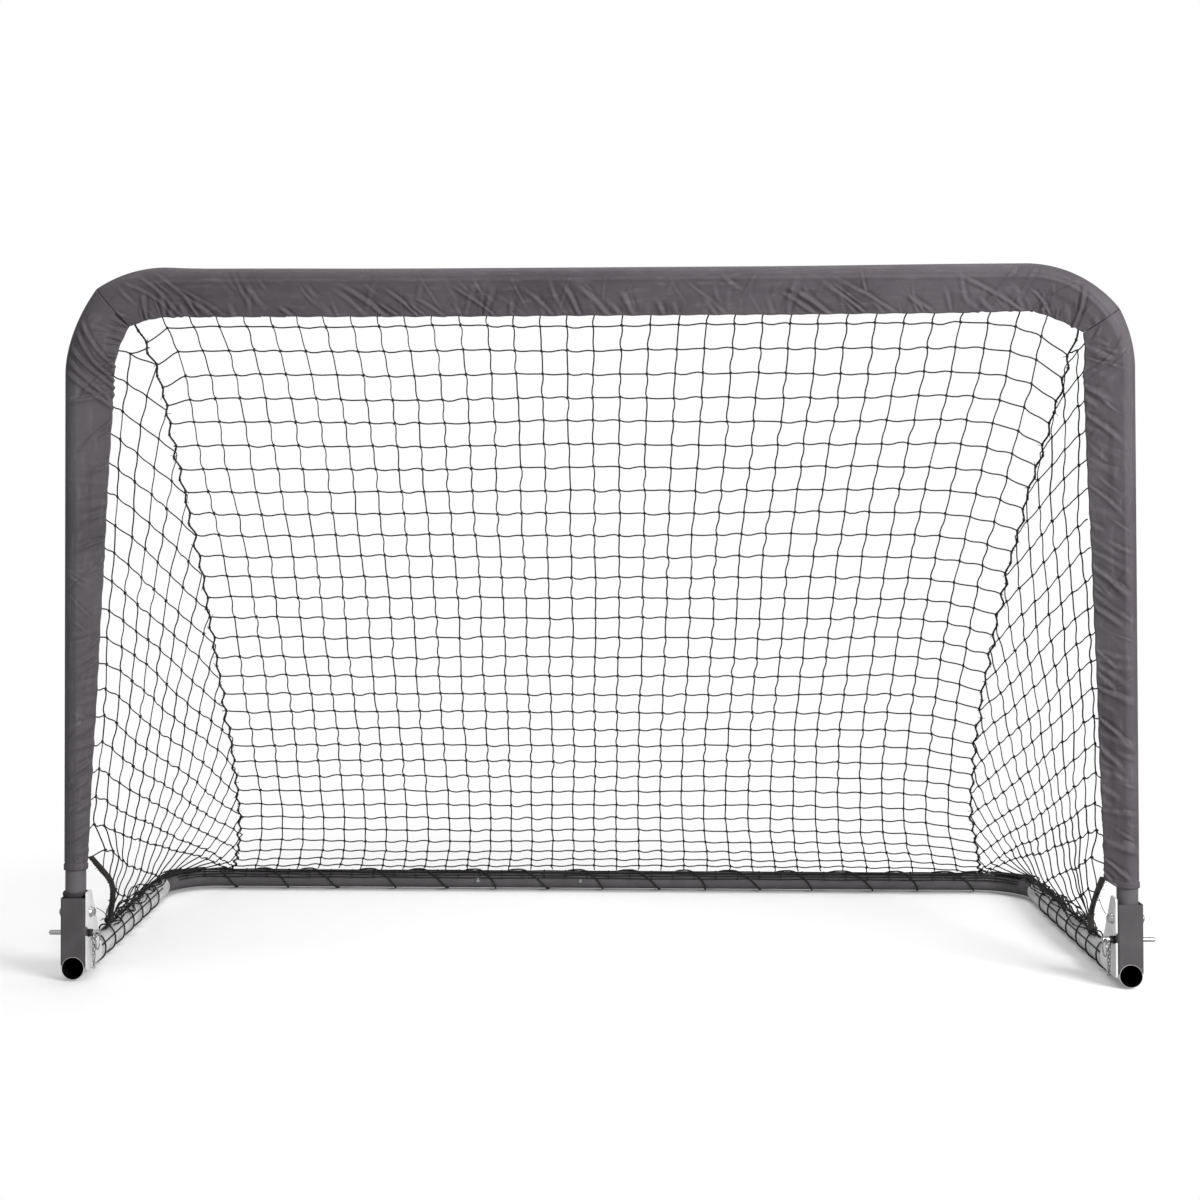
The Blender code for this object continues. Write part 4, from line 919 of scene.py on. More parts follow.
def bend_stations(word, start, stop):
    side = SIDES[word]
    centre = np.array([side * BEND_X, POST_Y, BEND_Z])
    count = int(abs(math.radians(stop - start)) * BEND_R / SLEEVE_STEP)
    found = []
    for angle in np.linspace(start, stop, count + 1):
        turn = math.radians(angle)
        outward = np.array([side * math.cos(turn), 0, math.sin(turn)])
        radius = SLEEVE_R + (BAR_SLEEVE_R - SLEEVE_R) * angle / 90
        peak = mitre_peak(word, math.radians(angle - MITRE_TURN[word]) * BEND_R)
        found.append((centre + outward * BEND_R, -outward, bend_reach(word, angle), radius, peak))
    return found


def mitre_peak(word, distance):
    """How far the corner's seam lifts the cloth, at a distance along the tube towards the crossbar."""
    reach = PEAK_REACH[word][1 if distance > 0 else 0]
    return MITRE_PEAK[word] * max(1 - abs(distance) / reach, 0.0) ** PEAK_POWER


def make_sleeves(cloth):
    """Two post sleeves and the crossbar sleeve, sewn together at the mitred corners."""
    for word, side in SIDES.items():
        stations = []
        inward = np.array([-side, 0.0, 0.0])
        for height in np.arange(SLEEVE_END[word], BEND_Z - BEND_CLEAR, SLEEVE_STEP):
            centre = np.array([side * POST_X, POST_Y, height])
            stations.append((centre, inward, float(flap_reach(word, height)), SLEEVE_R, 0.0))
        stations += bend_stations(word, 0, MITRE_TURN[word] - MITRE_GAP)
        folds, seed = POST_FOLDS[word], 3 + side
        points, rows, lengths = sleeve_shape(stations, folds, POST_CREASE, POST_LEAN, seed)
        cut_hem(points, rows, word)
        finish_sleeve(f"{word}_sleeve", f"{word}_post_sleeve", points, rows, lengths, cloth)
    stations = bend_stations("left", MITRE_TURN["left"] + MITRE_GAP, 90)
    for x in np.linspace(-BEND_X, BEND_X, int(2 * BEND_X / SLEEVE_STEP) + 1)[1:-1]:
        word = "left" if x < 0 else "right"
        from_bend = BEND_X - abs(x)
        radius = BAR_SLEEVE_R - BAR_SLACK * smooth(from_bend, *BAR_SLACK_RUN)
        peak = mitre_peak(word, math.radians(90 - MITRE_TURN[word]) * BEND_R + from_bend)
        stations.append((np.array([x, POST_Y, BAR_Z]), np.array([0, 0, -1.0]), bar_reach(x), radius, peak))
    stations += bend_stations("right", MITRE_TURN["right"] + MITRE_GAP, 90)[::-1]
    points, rows, lengths = sleeve_shape(stations, BAR_FOLDS, BAR_CREASE, BAR_LEAN, seed=11)
    finish_sleeve("bar_sleeve", "crossbar_sleeve", points, rows, lengths, cloth)


def make_bunched_hem(cloth):
    """The inner lining's hem, bunched on the left post where it enters the foot box."""
    around, across = 96, 14
    centre_r, centre_z = TUBE_R + 0.0024, BOX_TOP + 0.0052
    half_width, half_height = 0.0019, 0.0036
    bulge_width, bulge_height, wrinkle = 0.0004, 0.0007, 0.0002
    least_ripple, ripple_sum = 0.2, 3
    random = np.random.default_rng(seed=4)
    turns = 2 * np.pi * np.arange(around) / around
    ripple = np.zeros(around)
    for waves in (3, 5, 8, 13, 21):
        ripple += random.uniform(least_ripple, 1) * np.sin(waves * turns + random.uniform(0, FULL_TURN))
    points = []
    for turn, wave in zip(turns, ripple / ripple_sum):
        wide, tall = half_width + bulge_width * wave, half_height + bulge_height * wave
        for k in range(across):
            angle = 2 * math.pi * k / across
            r = centre_r + wide * math.cos(angle) + wrinkle * math.cos(5 * angle + 3 * turn)
            z = centre_z + tall * math.sin(angle)
            points.append((-POST_X + r * math.cos(turn), POST_Y + r * math.sin(turn), z))
    piece = make_piece("bunched_hem", points, strip_faces(around, across, True, True), cloth)
    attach(piece, "arch")
    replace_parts(piece, "left_hem_band")


def net_top_height(x):
    """The sleeve's hem above the net; a few rounds find it in the corners, where the mitre lifts it."""
    word = "left" if np.mean(x) < 0 else "right"
    past = np.maximum(np.abs(x) - BEND_X, 0.0)
    straight = BEND_Z + BEND_R - bar_reach(x)
    angle = np.full_like(past, 90.0)
    for _ in range(4):
        radius = BEND_R - bend_reach(word, angle)
        level = np.sqrt(np.maximum(radius**2 - past**2, 1e-9))
        angle = np.degrees(np.arctan2(level, past))
    return np.where(past > 0, BEND_Z + level, straight)


def seam_x(word, t):
    route = curve_through([(share, x, 0.0) for share, x in SEAM_ROUTE[word]], step=0.01)
    return np.interp(t, route[:, 0], route[:, 1])


def net_point(x, t):
    """A point of the back panel: x across, t from 0 at the crossbar to 1 on the rear bar."""
    top = np.stack([np.zeros_like(x), np.full_like(x, POST_Y + NET_BEHIND_POST), net_top_height(x)], -1)
    foot = np.array([0.0, REAR_Y, BASE_Z]) + NET_LANDING * (TUBE_R + BORDER_R)
    chord = foot - top
    inward = unit(np.stack([np.zeros_like(x), chord[..., 2], -chord[..., 1]], -1))
    share = t[..., None]
    sag = NET_SAG * 4 * np.maximum(share, 0) * (1 - share) * (0.75 + 0.5 * share)
    sag += NET_BELLY * share**BELLY_POWER * (1 - share)
    place = top + chord * share + inward * sag
    place[..., 0] = x
    return place


def even_rows():
    """Shares down the back panel that space its rows evenly along the net, the first just below the hem."""
    fine = np.linspace(0, 1, FINE_STEPS)
    lengths = lengths_along(net_point(np.zeros_like(fine), fine))
    places = (np.arange(NET_ROWS + 1) + FIRST_ROW) / (NET_ROWS + FIRST_ROW) * lengths[-1]
    return np.interp(places, lengths, fine)


def row_drop(word, row, column):
    """How far a row sinks, in rows, at a column counted from the seam."""
    if word == "left":
        return (LEFT_DROP if column == 0 else 0.0) * (1 - smooth(row, *LEFT_DROP_ROWS))
    return RIGHT_DROPS[column] if column < len(RIGHT_DROPS) else 0.0


def drift(points, size, length, seed):
    """Slow random shifts, so that the meshes aren't drawn with a ruler."""
    random = np.random.default_rng(seed)
    moved = points.copy()
    for _ in range(DRIFT_WAVES):
        wave = random.normal(0, 1, 3) / length
        phase = random.uniform(0, 2 * np.pi)
        moved += size * random.normal(0, DRIFT_SHARE, 3) * np.sin(points @ wave * 2 * np.pi + phase)[:, None]
    return moved


def net_tree(twine_material):
    """Twine along every edge of a guide mesh and a knot at every point where more than two meet."""
    tree = bpy.data.node_groups.new("knotted_net", "GeometryNodeTree")
    face = tree.interface
    face.new_socket("Guide", in_out="INPUT", socket_type="NodeSocketGeometry")
    sizes = {"Twine Radius": TWINE_R, "Knot Radius": KNOT_R, "Wave": TWINE_WAVE, "Wave Scale": WAVE_SCALE}
    for label, value in sizes.items():
        face.new_socket(label, in_out="INPUT", socket_type="NodeSocketFloat").default_value = value
    face.new_socket("Net", in_out="OUTPUT", socket_type="NodeSocketGeometry")

    def add(kind, inputs=None, output=0, **settings):
        made = tree.nodes.new(kind)
        for key, value in settings.items():
            setattr(made, key, value)
        for key, value in (inputs or {}).items():
            if isinstance(value, bpy.types.NodeSocket):
                tree.links.new(value, made.inputs[key])
            else:
                made.inputs[key].default_value = value
        return made.outputs[output]

    enter = tree.nodes.new("NodeGroupInput").outputs
    place = add("GeometryNodeInputPosition")
    waves = {"Vector": place, "Scale": enter["Wave Scale"], "Detail": 1.0}
    noise = add("ShaderNodeTexNoise", waves, "Color")
    centred = add("ShaderNodeVectorMath", {0: noise, 1: (0.5, 0.5, 0.5)}, operation="SUBTRACT")
    shift = add("ShaderNodeVectorMath", {0: centred, "Scale": enter["Wave"]}, operation="SCALE")
    wavy = add("GeometryNodeSetPosition", {"Geometry": enter["Guide"], "Offset": shift})
    lines = add("GeometryNodeMeshToCurve", {"Mesh": wavy})
    ring = add("GeometryNodeCurvePrimitiveCircle", {"Resolution": 4, "Radius": enter["Twine Radius"]})
    strands = add("GeometryNodeCurveToMesh", {"Curve": lines, "Profile Curve": ring, "Fill Caps": True})
    meeting = add("GeometryNodeInputMeshVertexNeighbors")
    crossing = add("FunctionNodeCompare", {2: meeting, 3: 2}, data_type="INT", operation="GREATER_THAN")
    spots = add("GeometryNodeMeshToPoints", {"Mesh": wavy, "Selection": crossing})
    ball = add("GeometryNodeMeshIcoSphere", {"Radius": enter["Knot Radius"], "Subdivisions": 2})
    turn = add("FunctionNodeRandomValue", {"Max": (FULL_TURN,) * 3, "Seed": 7}, data_type="FLOAT_VECTOR")
    placing = {"Points": spots, "Instance": ball, "Rotation": turn, "Scale": KNOT_SHAPE}
    knots = add("GeometryNodeInstanceOnPoints", placing)
    both = add("GeometryNodeJoinGeometry")
    for part in (knots, strands):
        tree.links.new(part, both.node.inputs[0])
    whole = add("GeometryNodeRealizeInstances", {"Geometry": both})
    soft = add("GeometryNodeSetShadeSmooth", {"Geometry": whole})
    dyed = add("GeometryNodeSetMaterial", {"Geometry": soft, "Material": twine_material})
    tree.links.new(dyed, tree.nodes.new("NodeGroupOutput").inputs[0])
    return tree


def slack_strands(points, edges):
    """Each strand between two knots leaves one low and reaches the other from above, and sags a little."""
    random = np.random.default_rng(len(points))
    places, strands = [np.asarray(points)], []
    start = len(points)
    share = (np.arange(1, STRAND_POINTS + 1) / (STRAND_POINTS + 1))[:, None]
    for one, two in edges:
        a, b = points[one], points[two]
        run = b - a
        level = abs(run[2]) < LEVEL_SHARE * np.linalg.norm(run)
        if (level and run[0] < 0) or (not level and run[2] > 0):
            one, two, a, b, run = two, one, b, a, -run
        bend = random.uniform(*STRAND_BEND_SHARE) * STRAND_BEND * np.sin(2 * np.pi * share)
        sag = random.uniform(*STRAND_SAG_SHARE) * STRAND_SAG * np.sin(np.pi * share)
        way = np.array([0, 0, -1.0]) if level else np.array([1.0, 0, 0])
        places.append(a + run * share + way * (bend + (sag if level else 0.0)))
        chain = [one, *range(start, start + STRAND_POINTS), two]
        strands += list(zip(chain, chain[1:]))
        start += STRAND_POINTS
    return np.concatenate(places), strands


def net_piece(name, points, edges, tree):
    points, edges = slack_strands(points, edges)
    mesh = bpy.data.meshes.new(name)
    mesh.from_pydata([tuple(p) for p in points], [tuple(e) for e in edges], [])
    piece = bpy.data.objects.new(name, mesh)
    bpy.context.scene.collection.objects.link(piece)
    weave = piece.modifiers.new("net", "NODES")
    weave.node_group = tree
    return apply_modifiers(piece)


def hang_soft(piece):
    """Net between base and arch, with its placing baked into its mesh."""
    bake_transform(piece)


def back_net_points():
    """The hidden top row inside the sleeve, then every row down to the rear bar, as a grid of places."""
    shares = np.concatenate([[HIDDEN_ROW], even_rows()])
    steps = np.diff(shares, append=shares[-1])
    across = 2 * np.arange(NET_COLUMNS + 1) / NET_COLUMNS - 1
    grid = []
    for row, t in enumerate(shares):
        line = []
        for word, half in (("left", across[across <= 0]), ("right", across[across > 0])):
            count = len(half)
            from_seam = np.arange(count) if word == "left" else np.arange(count)[::-1]
            drop = np.array([row_drop(word, row, int(k)) for k in from_seam])
            inside = 0 < row < NET_ROWS + 1
            lower = t + drop * steps[row] * inside
            line.append(net_point(half * (seam_x(word, lower) - SEAM_CLEAR), lower))
        grid.append(np.concatenate(line))
    return np.array(grid)


def make_back_net(tree):
    grid = back_net_points()
    rows, wide = grid.shape[:2]
    points = drift(grid.reshape(-1, 3), *BACK_DRIFT, seed=5)
    edges = []
    for row in range(rows):
        for k in range(wide):
            at = row * wide + k
            if row < rows - 1 and 0 < k < wide - 1:
                edges.append((at, at + wide))
            if 0 < row < rows - 1 and k < wide - 1:
                edges.append((at, at + 1))
    piece = net_piece("back_panel", points, edges, tree)
    hang_soft(piece)
    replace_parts(piece, "back_net")


def seam_line(word, t):
    return net_point(SIDES[word] * seam_x(word, t), t)


def rail_top(side, y, clear=0.0030, lean=0.0):
    """Points along a side rail and round its bend, on its top at a lean of 0 and on its inner side at 90."""
    share = np.clip((y - REAR_BEND_Y) / REAR_BEND_R, 0, 1)
    turn = math.radians(lean)
    out = BASE_R + clear
    inset = REAR_BEND_R * (1 - np.sqrt(1 - share**2)) + out * math.sin(turn)
    return np.stack([side * (POST_X - inset), y, np.full_like(y, BASE_Z + out * math.cos(turn))], -1)


def tape_line(word, step=0.003):
    route = np.array(TAPE_ROUTE[word]) * (SIDES[word], 1, 1)
    return curve_through(route, step)


def foot_line(word, y):
    """The side net's lower edge: down the binding tape, then along the side rail."""
    tape = tape_line(word)
    rail = rail_top(SIDES[word], y)
    on_tape = np.stack([np.interp(y, tape[:, 1], tape[:, k]) for k in range(3)], -1)
    return np.where((y < tape[-1, 1])[..., None], on_tape, rail)


def side_tie(word, side, row):
    """Where a row of the side net is tied to the post sleeve's hem."""
    height = SIDE_TOP - SIDE_PITCH * row
    hem = POST_X - float(flap_reach(word, height)) + SIDE_TIE
    return np.array([side * hem, POST_Y + TIE_BEHIND_POST, height])


def side_net_places(word, side):
    """Knots by (row, column), column 0 at the post, and the lowest row of each column.

    Rows run from the post down to the seam. Below the last one the columns run on down to the net's foot.
    """
    number = np.arange(SIDE_ROWS + 1)
    ends = seam_line(word, np.clip(SEAM_SHARE * number * (1 - SEAM_EASE * number), SEAM_START, 1.0))
    ends[:, 0] -= side * SIDE_SEAM_CLEAR
    foot = foot_line(word, np.linspace(POST_Y + END_INSET, REAR_Y - END_INSET, SIDE_ROWS + 2))
    places, lowest = {(0, 1): ends[0]}, {}
    for row in range(1, SIDE_ROWS + 1):
        start, end = side_tie(word, side, row), ends[row]
        for k in range(row + 2):
            share = max(k - FIRST_COLUMN, 0) / (row + LAST_COLUMN)
            place = start + (end - start) * share**ROW_CROWD
            place[0] += side * SIDE_BULGE * math.sin(math.pi * share) * (row / SIDE_ROWS)
            place[2] = start[2] + (end[2] - start[2]) * share**ROW_DIP
            if k:
                place[2] += SIDE_LIFT * float(smooth(row, *SIDE_LIFT_ROWS)) * bell(k, *SIDE_LIFT_COLUMN)
            places[row, k] = place
    for k in range(SIDE_ROWS + 2):
        top, row = places[SIDE_ROWS, k], SIDE_ROWS
        if not k:
            while SIDE_TOP - SIDE_PITCH * (row + 1) > SLEEVE_END[word] + HEM_CLEAR:
                row += 1
                places[row, 0] = side_tie(word, side, row)
        else:
            drop = top[2] - foot[k][2]
            while SIDE_PITCH * (row + FOOT_ROW - SIDE_ROWS) < drop:
                row += 1
                share = SIDE_PITCH * (row - SIDE_ROWS) / drop
                place = top + (foot[k] - top) * share
                place[0] -= side * SIDE_FOOT_BULGE * math.sin(math.pi * share)
                places[row, k] = place
            row += 1
            places[row, k] = foot[k]
        lowest[k] = row
    return places, lowest


def make_side_net(word, side, tree):
    """The net from a post back to its seam; its lowest meshes end on the tape and on the side rail."""
    places, lowest = side_net_places(word, side)
    index = {spot: number for number, spot in enumerate(places)}
    edges = []
    for (row, k), at in index.items():
        if k and (row + 1, k) in index:
            edges.append((at, index[row + 1, k]))
        if (row, k + 1) in index:
            edges.append((at, index[row, k + 1]))
        elif k <= SIDE_ROWS and row == lowest[k + 1] + 1:
            edges.append((at, index[lowest[k + 1], k + 1]))
        if k > 1 and row == lowest[k - 1] + 1:
            edges.append((at, index[lowest[k - 1], k - 1]))
    points = drift(np.array(list(places.values())), *SIDE_DRIFT, seed=8 + side)
    piece = net_piece(f"{word}_panel", points, edges, tree)
    hang_soft(piece)
    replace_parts(piece, f"{word}_side_net")


def make_seam(word, side, cord):
    """The cord that joins the panels, kinked at each mesh, with short loose ends at its knots."""
    random = np.random.default_rng(seed=20 + side)
    shares = even_rows()
    drops = np.array([row_drop(word, row + 1, 0) for row in range(len(shares))])
    shares[:-1] += drops[:-1] * np.diff(shares)
    shares = np.concatenate([[HIDDEN_ROW], shares])
    knots = seam_line(word, shares)
    halfway = seam_line(word, (shares[1:] + shares[:-1]) / 2)
    halfway[:, 0] += side * random.uniform(*SEAM_OUT, len(halfway))
    knots[1:-1, 0] -= side * random.uniform(*SEAM_IN, len(knots) - 2)
    both = np.empty((len(knots) + len(halfway), 3))
    both[0::2], both[1::2] = knots, halfway
    parts = [swept(curve_through(both, step=0.003), SEAM_R, sides=8, **SEAM_LAY)]
    for knot in both[1:-1]:
        for _ in range(random.integers(*LOOSE_ENDS)):
            way = random.normal(0, 1, 3)
            way /= np.linalg.norm(way)
            end = knot + way * random.uniform(*LOOSE_END)
            bent = (knot + end) / 2 + random.normal(0, LOOSE_END_BEND, 3)
            parts.append(swept([knot, bent, end], LOOSE_END_R, sides=5))
        blob = [knot + np.array([0, 0, height]) for height, _ in SEAM_KNOT]
        parts.append(swept(blob, np.array([radius for _, radius in SEAM_KNOT]), sides=8))
    piece = joined(f"{word}_seam", parts, cord)
    hang_soft(piece)
    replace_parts(piece, f"{word}_seam_cord")


def wound(start, loops, pitch, radius, stray, over_ropes, place, steps=36):
    """A cord wound round a straight tube, lifted by the ropes that lie on it between two angles of its turn.

    place maps (along, in, up) to the frame.
    """
    (up, down), (ramp_up, ramp_down), (fast, slow) = over_ropes, ROPE_RAMPS, STRAY_RATES
    points = []
    for k in range(loops * steps + 1):
        whole, part = divmod(k / steps, 1.0)
        angle = 2 * math.pi * part
        along = start + pitch * (whole + part - WINDING_EASE * math.sin(angle) / (2 * math.pi))
        along += stray * math.sin(fast * k / steps) * math.sin(slow * k / steps)
        lift = ROPE_LIFT * smooth(angle, up - ramp_up, up) * (1 - smooth(angle, down, down + ramp_down))
        reach = radius + lift
        points.append(place(along, -reach * math.sin(angle), -reach * math.cos(angle)))
    return np.array(points)


def lashing(name, path, cord):
    piece = cord_piece(name, path, CORD_R, cord, sides=12, **LASHING_LAY)
    for vertex in piece.data.vertices:
        vertex.co.z = max(vertex.co.z, 0.0)
    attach(piece, "base")
    return piece


def make_lacing(cord):
    """The cords that lash the net's border to the side rails and the rear bar."""
    for word, side in SIDES.items():
        path = wound(LACING_START, LACING_LOOPS, LACING_PITCH, LASHING_R, LACING_STRAY, LACING_OVER_ROPES,
                     lambda along, u, v: (side * (POST_X + u), along, BASE_Z + v))
        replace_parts(lashing(f"{word}_lashing", path, cord), f"{word}_lacing")
    path = wound(REAR_START, REAR_LOOPS, REAR_PITCH, REAR_LASHING_R, REAR_STRAY, REAR_OVER_ROPE,
                 lambda along, u, v: (-along, REAR_Y + u, BASE_Z + v))
    on_bar = np.abs(path[:, 0]) < REAR_BEND_X - LASHING_INSET
    lashing("rear_lashing", path[on_bar], cord)


def make_border(cord):
    """The net's border ropes: two along each side rail and one along the rear bar."""
    parts = []
    for side in SIDES.values():
        y = np.linspace(BORDER_START, REAR_Y - END_INSET, BORDER_STEPS)
        straight = y[y < REAR_BEND_Y - INNER_ROPE_END_GAP]
        inner = rail_top(side, straight, INNER_ROPE_CLEAR, INNER_ROPE_LEAN)
        parts.append(swept(inner, INNER_ROPE_R, sides=8, **BORDER_LAY))
        parts.append(swept(rail_top(side, y, BORDER_R), BORDER_R, sides=10, **BORDER_LAY))
    x = np.linspace(-REAR_BEND_X, REAR_BEND_X, REAR_BORDER_STEPS)
    lean = BORDER_LEAN * smooth(REAR_BEND_X - np.abs(x), 0.0, BORDER_LEAN_RUN)
    reach = TUBE_R + BORDER_R
    path = np.stack([x, REAR_Y - reach * np.sin(lean), BASE_Z + reach * np.cos(lean)], 1)
    parts.append(swept(path, BORDER_R, sides=10, **BORDER_LAY))
    piece = joined("border_ropes", parts, cord)
    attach(piece, "base")


def gathered_strand(path, spread, lift, share, random):
    """A strand of slack mesh with its knots: it wanders aside and stands up by a share of its lift."""
    steps = np.arange(len(path)) * GATHER_STEP
    wave = np.zeros((len(path), 2))
    for _ in range(GATHER_WAVES):
        rate = random.uniform(*GATHER_RATES)
        phase = random.uniform(0, FULL_TURN, 2)
        wave += random.uniform(*STRENGTH) * np.sin(rate * steps[:, None] + phase)
    wave /= GATHER_WAVE_SUM
    path = path.copy()
    path[:, :2] += np.outer(wave[:, 0], spread)
    path[:, 2] += lift * (0.5 + 0.5 * np.clip(wave[:, 1], -1, 1)) * share
    parts = [swept(path, TWINE_R, sides=5)]
    for place in path[GATHER_KNOTS]:
        parts.append(swept([place - GATHER_KNOT_HALF, place + GATHER_KNOT_HALF], GATHER_KNOT_R, sides=6))
    return parts


def strand_share(number):
    """The share of its lift by which a strand stands up, another for each strand."""
    return 0.4 + 0.6 * math.sin(number) ** 2


def make_gathers(twine_look):
    """The slack meshes that bunch up on the side rails and along the rear bar."""
    random = np.random.default_rng(seed=31)
    parts = []
    start, full, fading, end = LOOSE_STRETCH
    for side in SIDES.values():
        for n in range(SIDE_STRANDS):
            first = start + SIDE_STRAND_STAGGER * (n % 3)
            last = REAR_Y - SIDE_STRAND_END_GAP + SIDE_STRAND_END_STEP * n
            y = np.arange(first, last, GATHER_STEP)
            loose = smooth(y, start, full) * (1 - smooth(y, fading, end))
            path = rail_top(side, y, SIDE_STRAND_CLEAR, SIDE_STRAND_LEAN * n)
            lift = GATHER_LIFT + GATHER_LOOSE * loose
            parts += gathered_strand(path, SIDE_SPREAD, lift, strand_share(n + 1.3), random)
    least_lean, more_lean = REAR_STRAND_LEAN
    for n in range(REAR_STRANDS):
        lean = math.radians(least_lean + more_lean * n)
        reach = TUBE_R + REAR_STRAND_CLEAR
        bends = []
        for side, first, last in ((-1, 150, 90), (1, 90, 30)):
            centre = (side * REAR_BEND_X, REAR_BEND_Y, BASE_Z + reach * math.cos(lean))
            radius = REAR_BEND_R - reach * math.sin(lean)
            bends.append(arc(centre, radius, first, last, steps=12, plane="XY"))
        path = dense(np.vstack(bends), GATHER_STEP)
        parts += gathered_strand(path, REAR_SPREAD, GATHER_LIFT, strand_share(n + 0.6), random)
    piece = joined("gathered_mesh", parts, twine_look)
    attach(piece, "base")


def hanging_cord(route):
    """A few points and the length of a free cord's or tape's route, worked out and not kept."""
    fewest_points = 20
    path = [tuple(p) for p in route[:: max(len(route) // fewest_points, 1)]]
    path[-1] = tuple(route[-1])
    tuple(path[0])
    line_length(route)


def tape_ribbon(line, flat, thick, half, side, random):
    """A tape along its line, with rounded edges, a slow curl and one frayed edge."""
    count, wide = len(line), len(TAPE_OUTLINE)
    t = np.linspace(0, 1, count)
    fray = random.normal(0, TAPE_FRAY, count)
    rings, uv = [], []
    for aside, deep in TAPE_OUTLINE:
        reach = aside * (half + (fray if aside * side > 0 else 0.0))
        curl = TAPE_CURL * np.sin(TAPE_CURL_RATE * t + 2 * aside)
        rings.append(line + flat * reach[:, None] + thick * (TAPE_HALF_THICK * deep + curl)[:, None])
        uv.append(np.stack([reach, t * TAPE_UV_LENGTH], 1))
    last = (count - 1) * wide
    faces = strip_faces(count, wide, True) + [tuple(range(wide))[::-1], tuple(last + k for k in range(wide))]
    return np.stack(rings, 1).reshape(-1, 3), faces, np.stack(uv, 1).reshape(-1, 2)


def tape_knot(end, random):
    """Hoops wound round the tape's end, and the short tails that stick out of them."""
    parts = []
    turn = np.linspace(0, 2 * math.pi, HOOP_STEPS)
    for n in range(KNOT_HOOPS):
        r = HOOP_R + HOOP_GROWTH * n
        aside = HOOP_TWIST * np.sin(2 * turn + 0.5 * n) + HOOP_PITCH * (n - 2)
        hoop = np.stack([r * np.cos(turn), aside, HOOP_FLAT * r * np.sin(turn)], 1)
        parts.append(swept(end + hoop, HOOP_CORD_R, sides=6))
    for _ in range(KNOT_TAILS):
        way = random.normal(0, 1, 3) * TAIL_SPREAD
        way[2] = abs(way[2]) * TAIL_RISE
        way /= np.linalg.norm(way)
        tip = end + way * random.uniform(*TAIL_LENGTH)
        bent = curve_through([end, (end + tip) / 2 + random.normal(0, TAIL_BEND, 3), tip], step=0.002)
        parts.append(swept(bent, TAIL_R, sides=5))
    return parts


def frayed_threads(line, flat, half, side, random):
    """Single threads that stand off the tape's frayed edge."""
    parts = []
    first, last = THREAD_MARGIN
    for _ in range(FRAYED_THREADS):
        k = random.integers(first, len(line) - last)
        edge = line[k] + flat[k] * half[k] * side * THREAD_ROOT
        tip = edge + flat[k] * side * random.uniform(*THREAD_LENGTH) + random.normal(0, THREAD_STRAY, 3)
        parts.append(swept([edge, (edge + tip) / 2, tip], THREAD_R, sides=4))
    return parts


def make_tapes(tape_look, cord):
    """Binding tapes from the sleeves down to their knots on the side rails, and a string to each hinge."""
    for word, side in SIDES.items():
        random = np.random.default_rng(seed=50 + side)
        line = tape_line(word, step=0.002)
        along = unit(np.gradient(line, axis=0))
        flat = unit(np.cross(along, (0, 1, 0)))
        t = np.linspace(0, 1, len(line))
        half = TAPE_WIDTH / 2 * (1 - TAPE_NARROWS * smooth(t, *TAPE_NARROWS_AT))
        ribbon = tape_ribbon(line, flat, np.cross(along, flat), half, side, random)
        hoops = tape_knot(line[-1], random)
        threads = frayed_threads(line, flat, half, side, random)
        tape = joined(f"{word}_binding_tape", [ribbon], tape_look)
        fray = joined(f"{word}_tape_fray", threads, tape_look)
        knot = joined(f"{word}_tape_knot", hoops, tape_look)
        for piece in (tape, fray):
            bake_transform(piece)
        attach(knot, "base")
        hanging_cord(line)

        route = curve_through(np.array(STRING_ROUTE[word]) * (side, 1, 1), step=0.004)
        string = cord_piece(f"{word}_string", route, STRING_R, cord, sides=8, **STRING_LAY)
        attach(string, "base")
        hanging_cord(route)


def link(wire, half_length, half_width, steps=16, sides=6):
    """One welded chain link round the origin, long in X and wide in Y."""
    bend = half_width - wire
    run = half_length - half_width
    points = []
    for k in range(steps):
        turn = 2 * math.pi * (k + 0.5) / steps
        shift = run if math.cos(turn) > 0 else -run
        centre = np.array([bend * math.cos(turn) + shift, bend * math.sin(turn), 0.0])
        outward = np.array([math.cos(turn), math.sin(turn), 0.0])
        for n in range(sides):
            spin = 2 * math.pi * n / sides
            spoke = math.cos(spin) * outward + math.sin(spin) * np.array([0, 0, 1.0])
            points.append(centre + wire * spoke)
    return np.array(points), strip_faces(steps, sides, True, True)


def point_at(line, lengths, distance):
    return np.array([np.interp(distance, lengths, line[:, n]) for n in range(3)])


def chain_line(word, side):
    """The curve that a keeper chain hangs in, from one end of its CAD node to the other."""
    low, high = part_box(f"{word}_keeper_chain")
    centre = (low + high) / 2
    half = (high.x - low.x) / 2 - CHAIN_WIDTH / 2
    t = np.linspace(0, 1, FINE_STEPS)
    x = centre.x + side * half * np.cos(np.pi * t)
    top, bottom = high.z - CHAIN_LINK / 2, low.z + CHAIN_WIRE
    z = bottom + (top - bottom) * np.abs(2 * t - 1) ** CHAIN_HANG
    return np.stack([x, np.full_like(x, centre.y), z], 1)


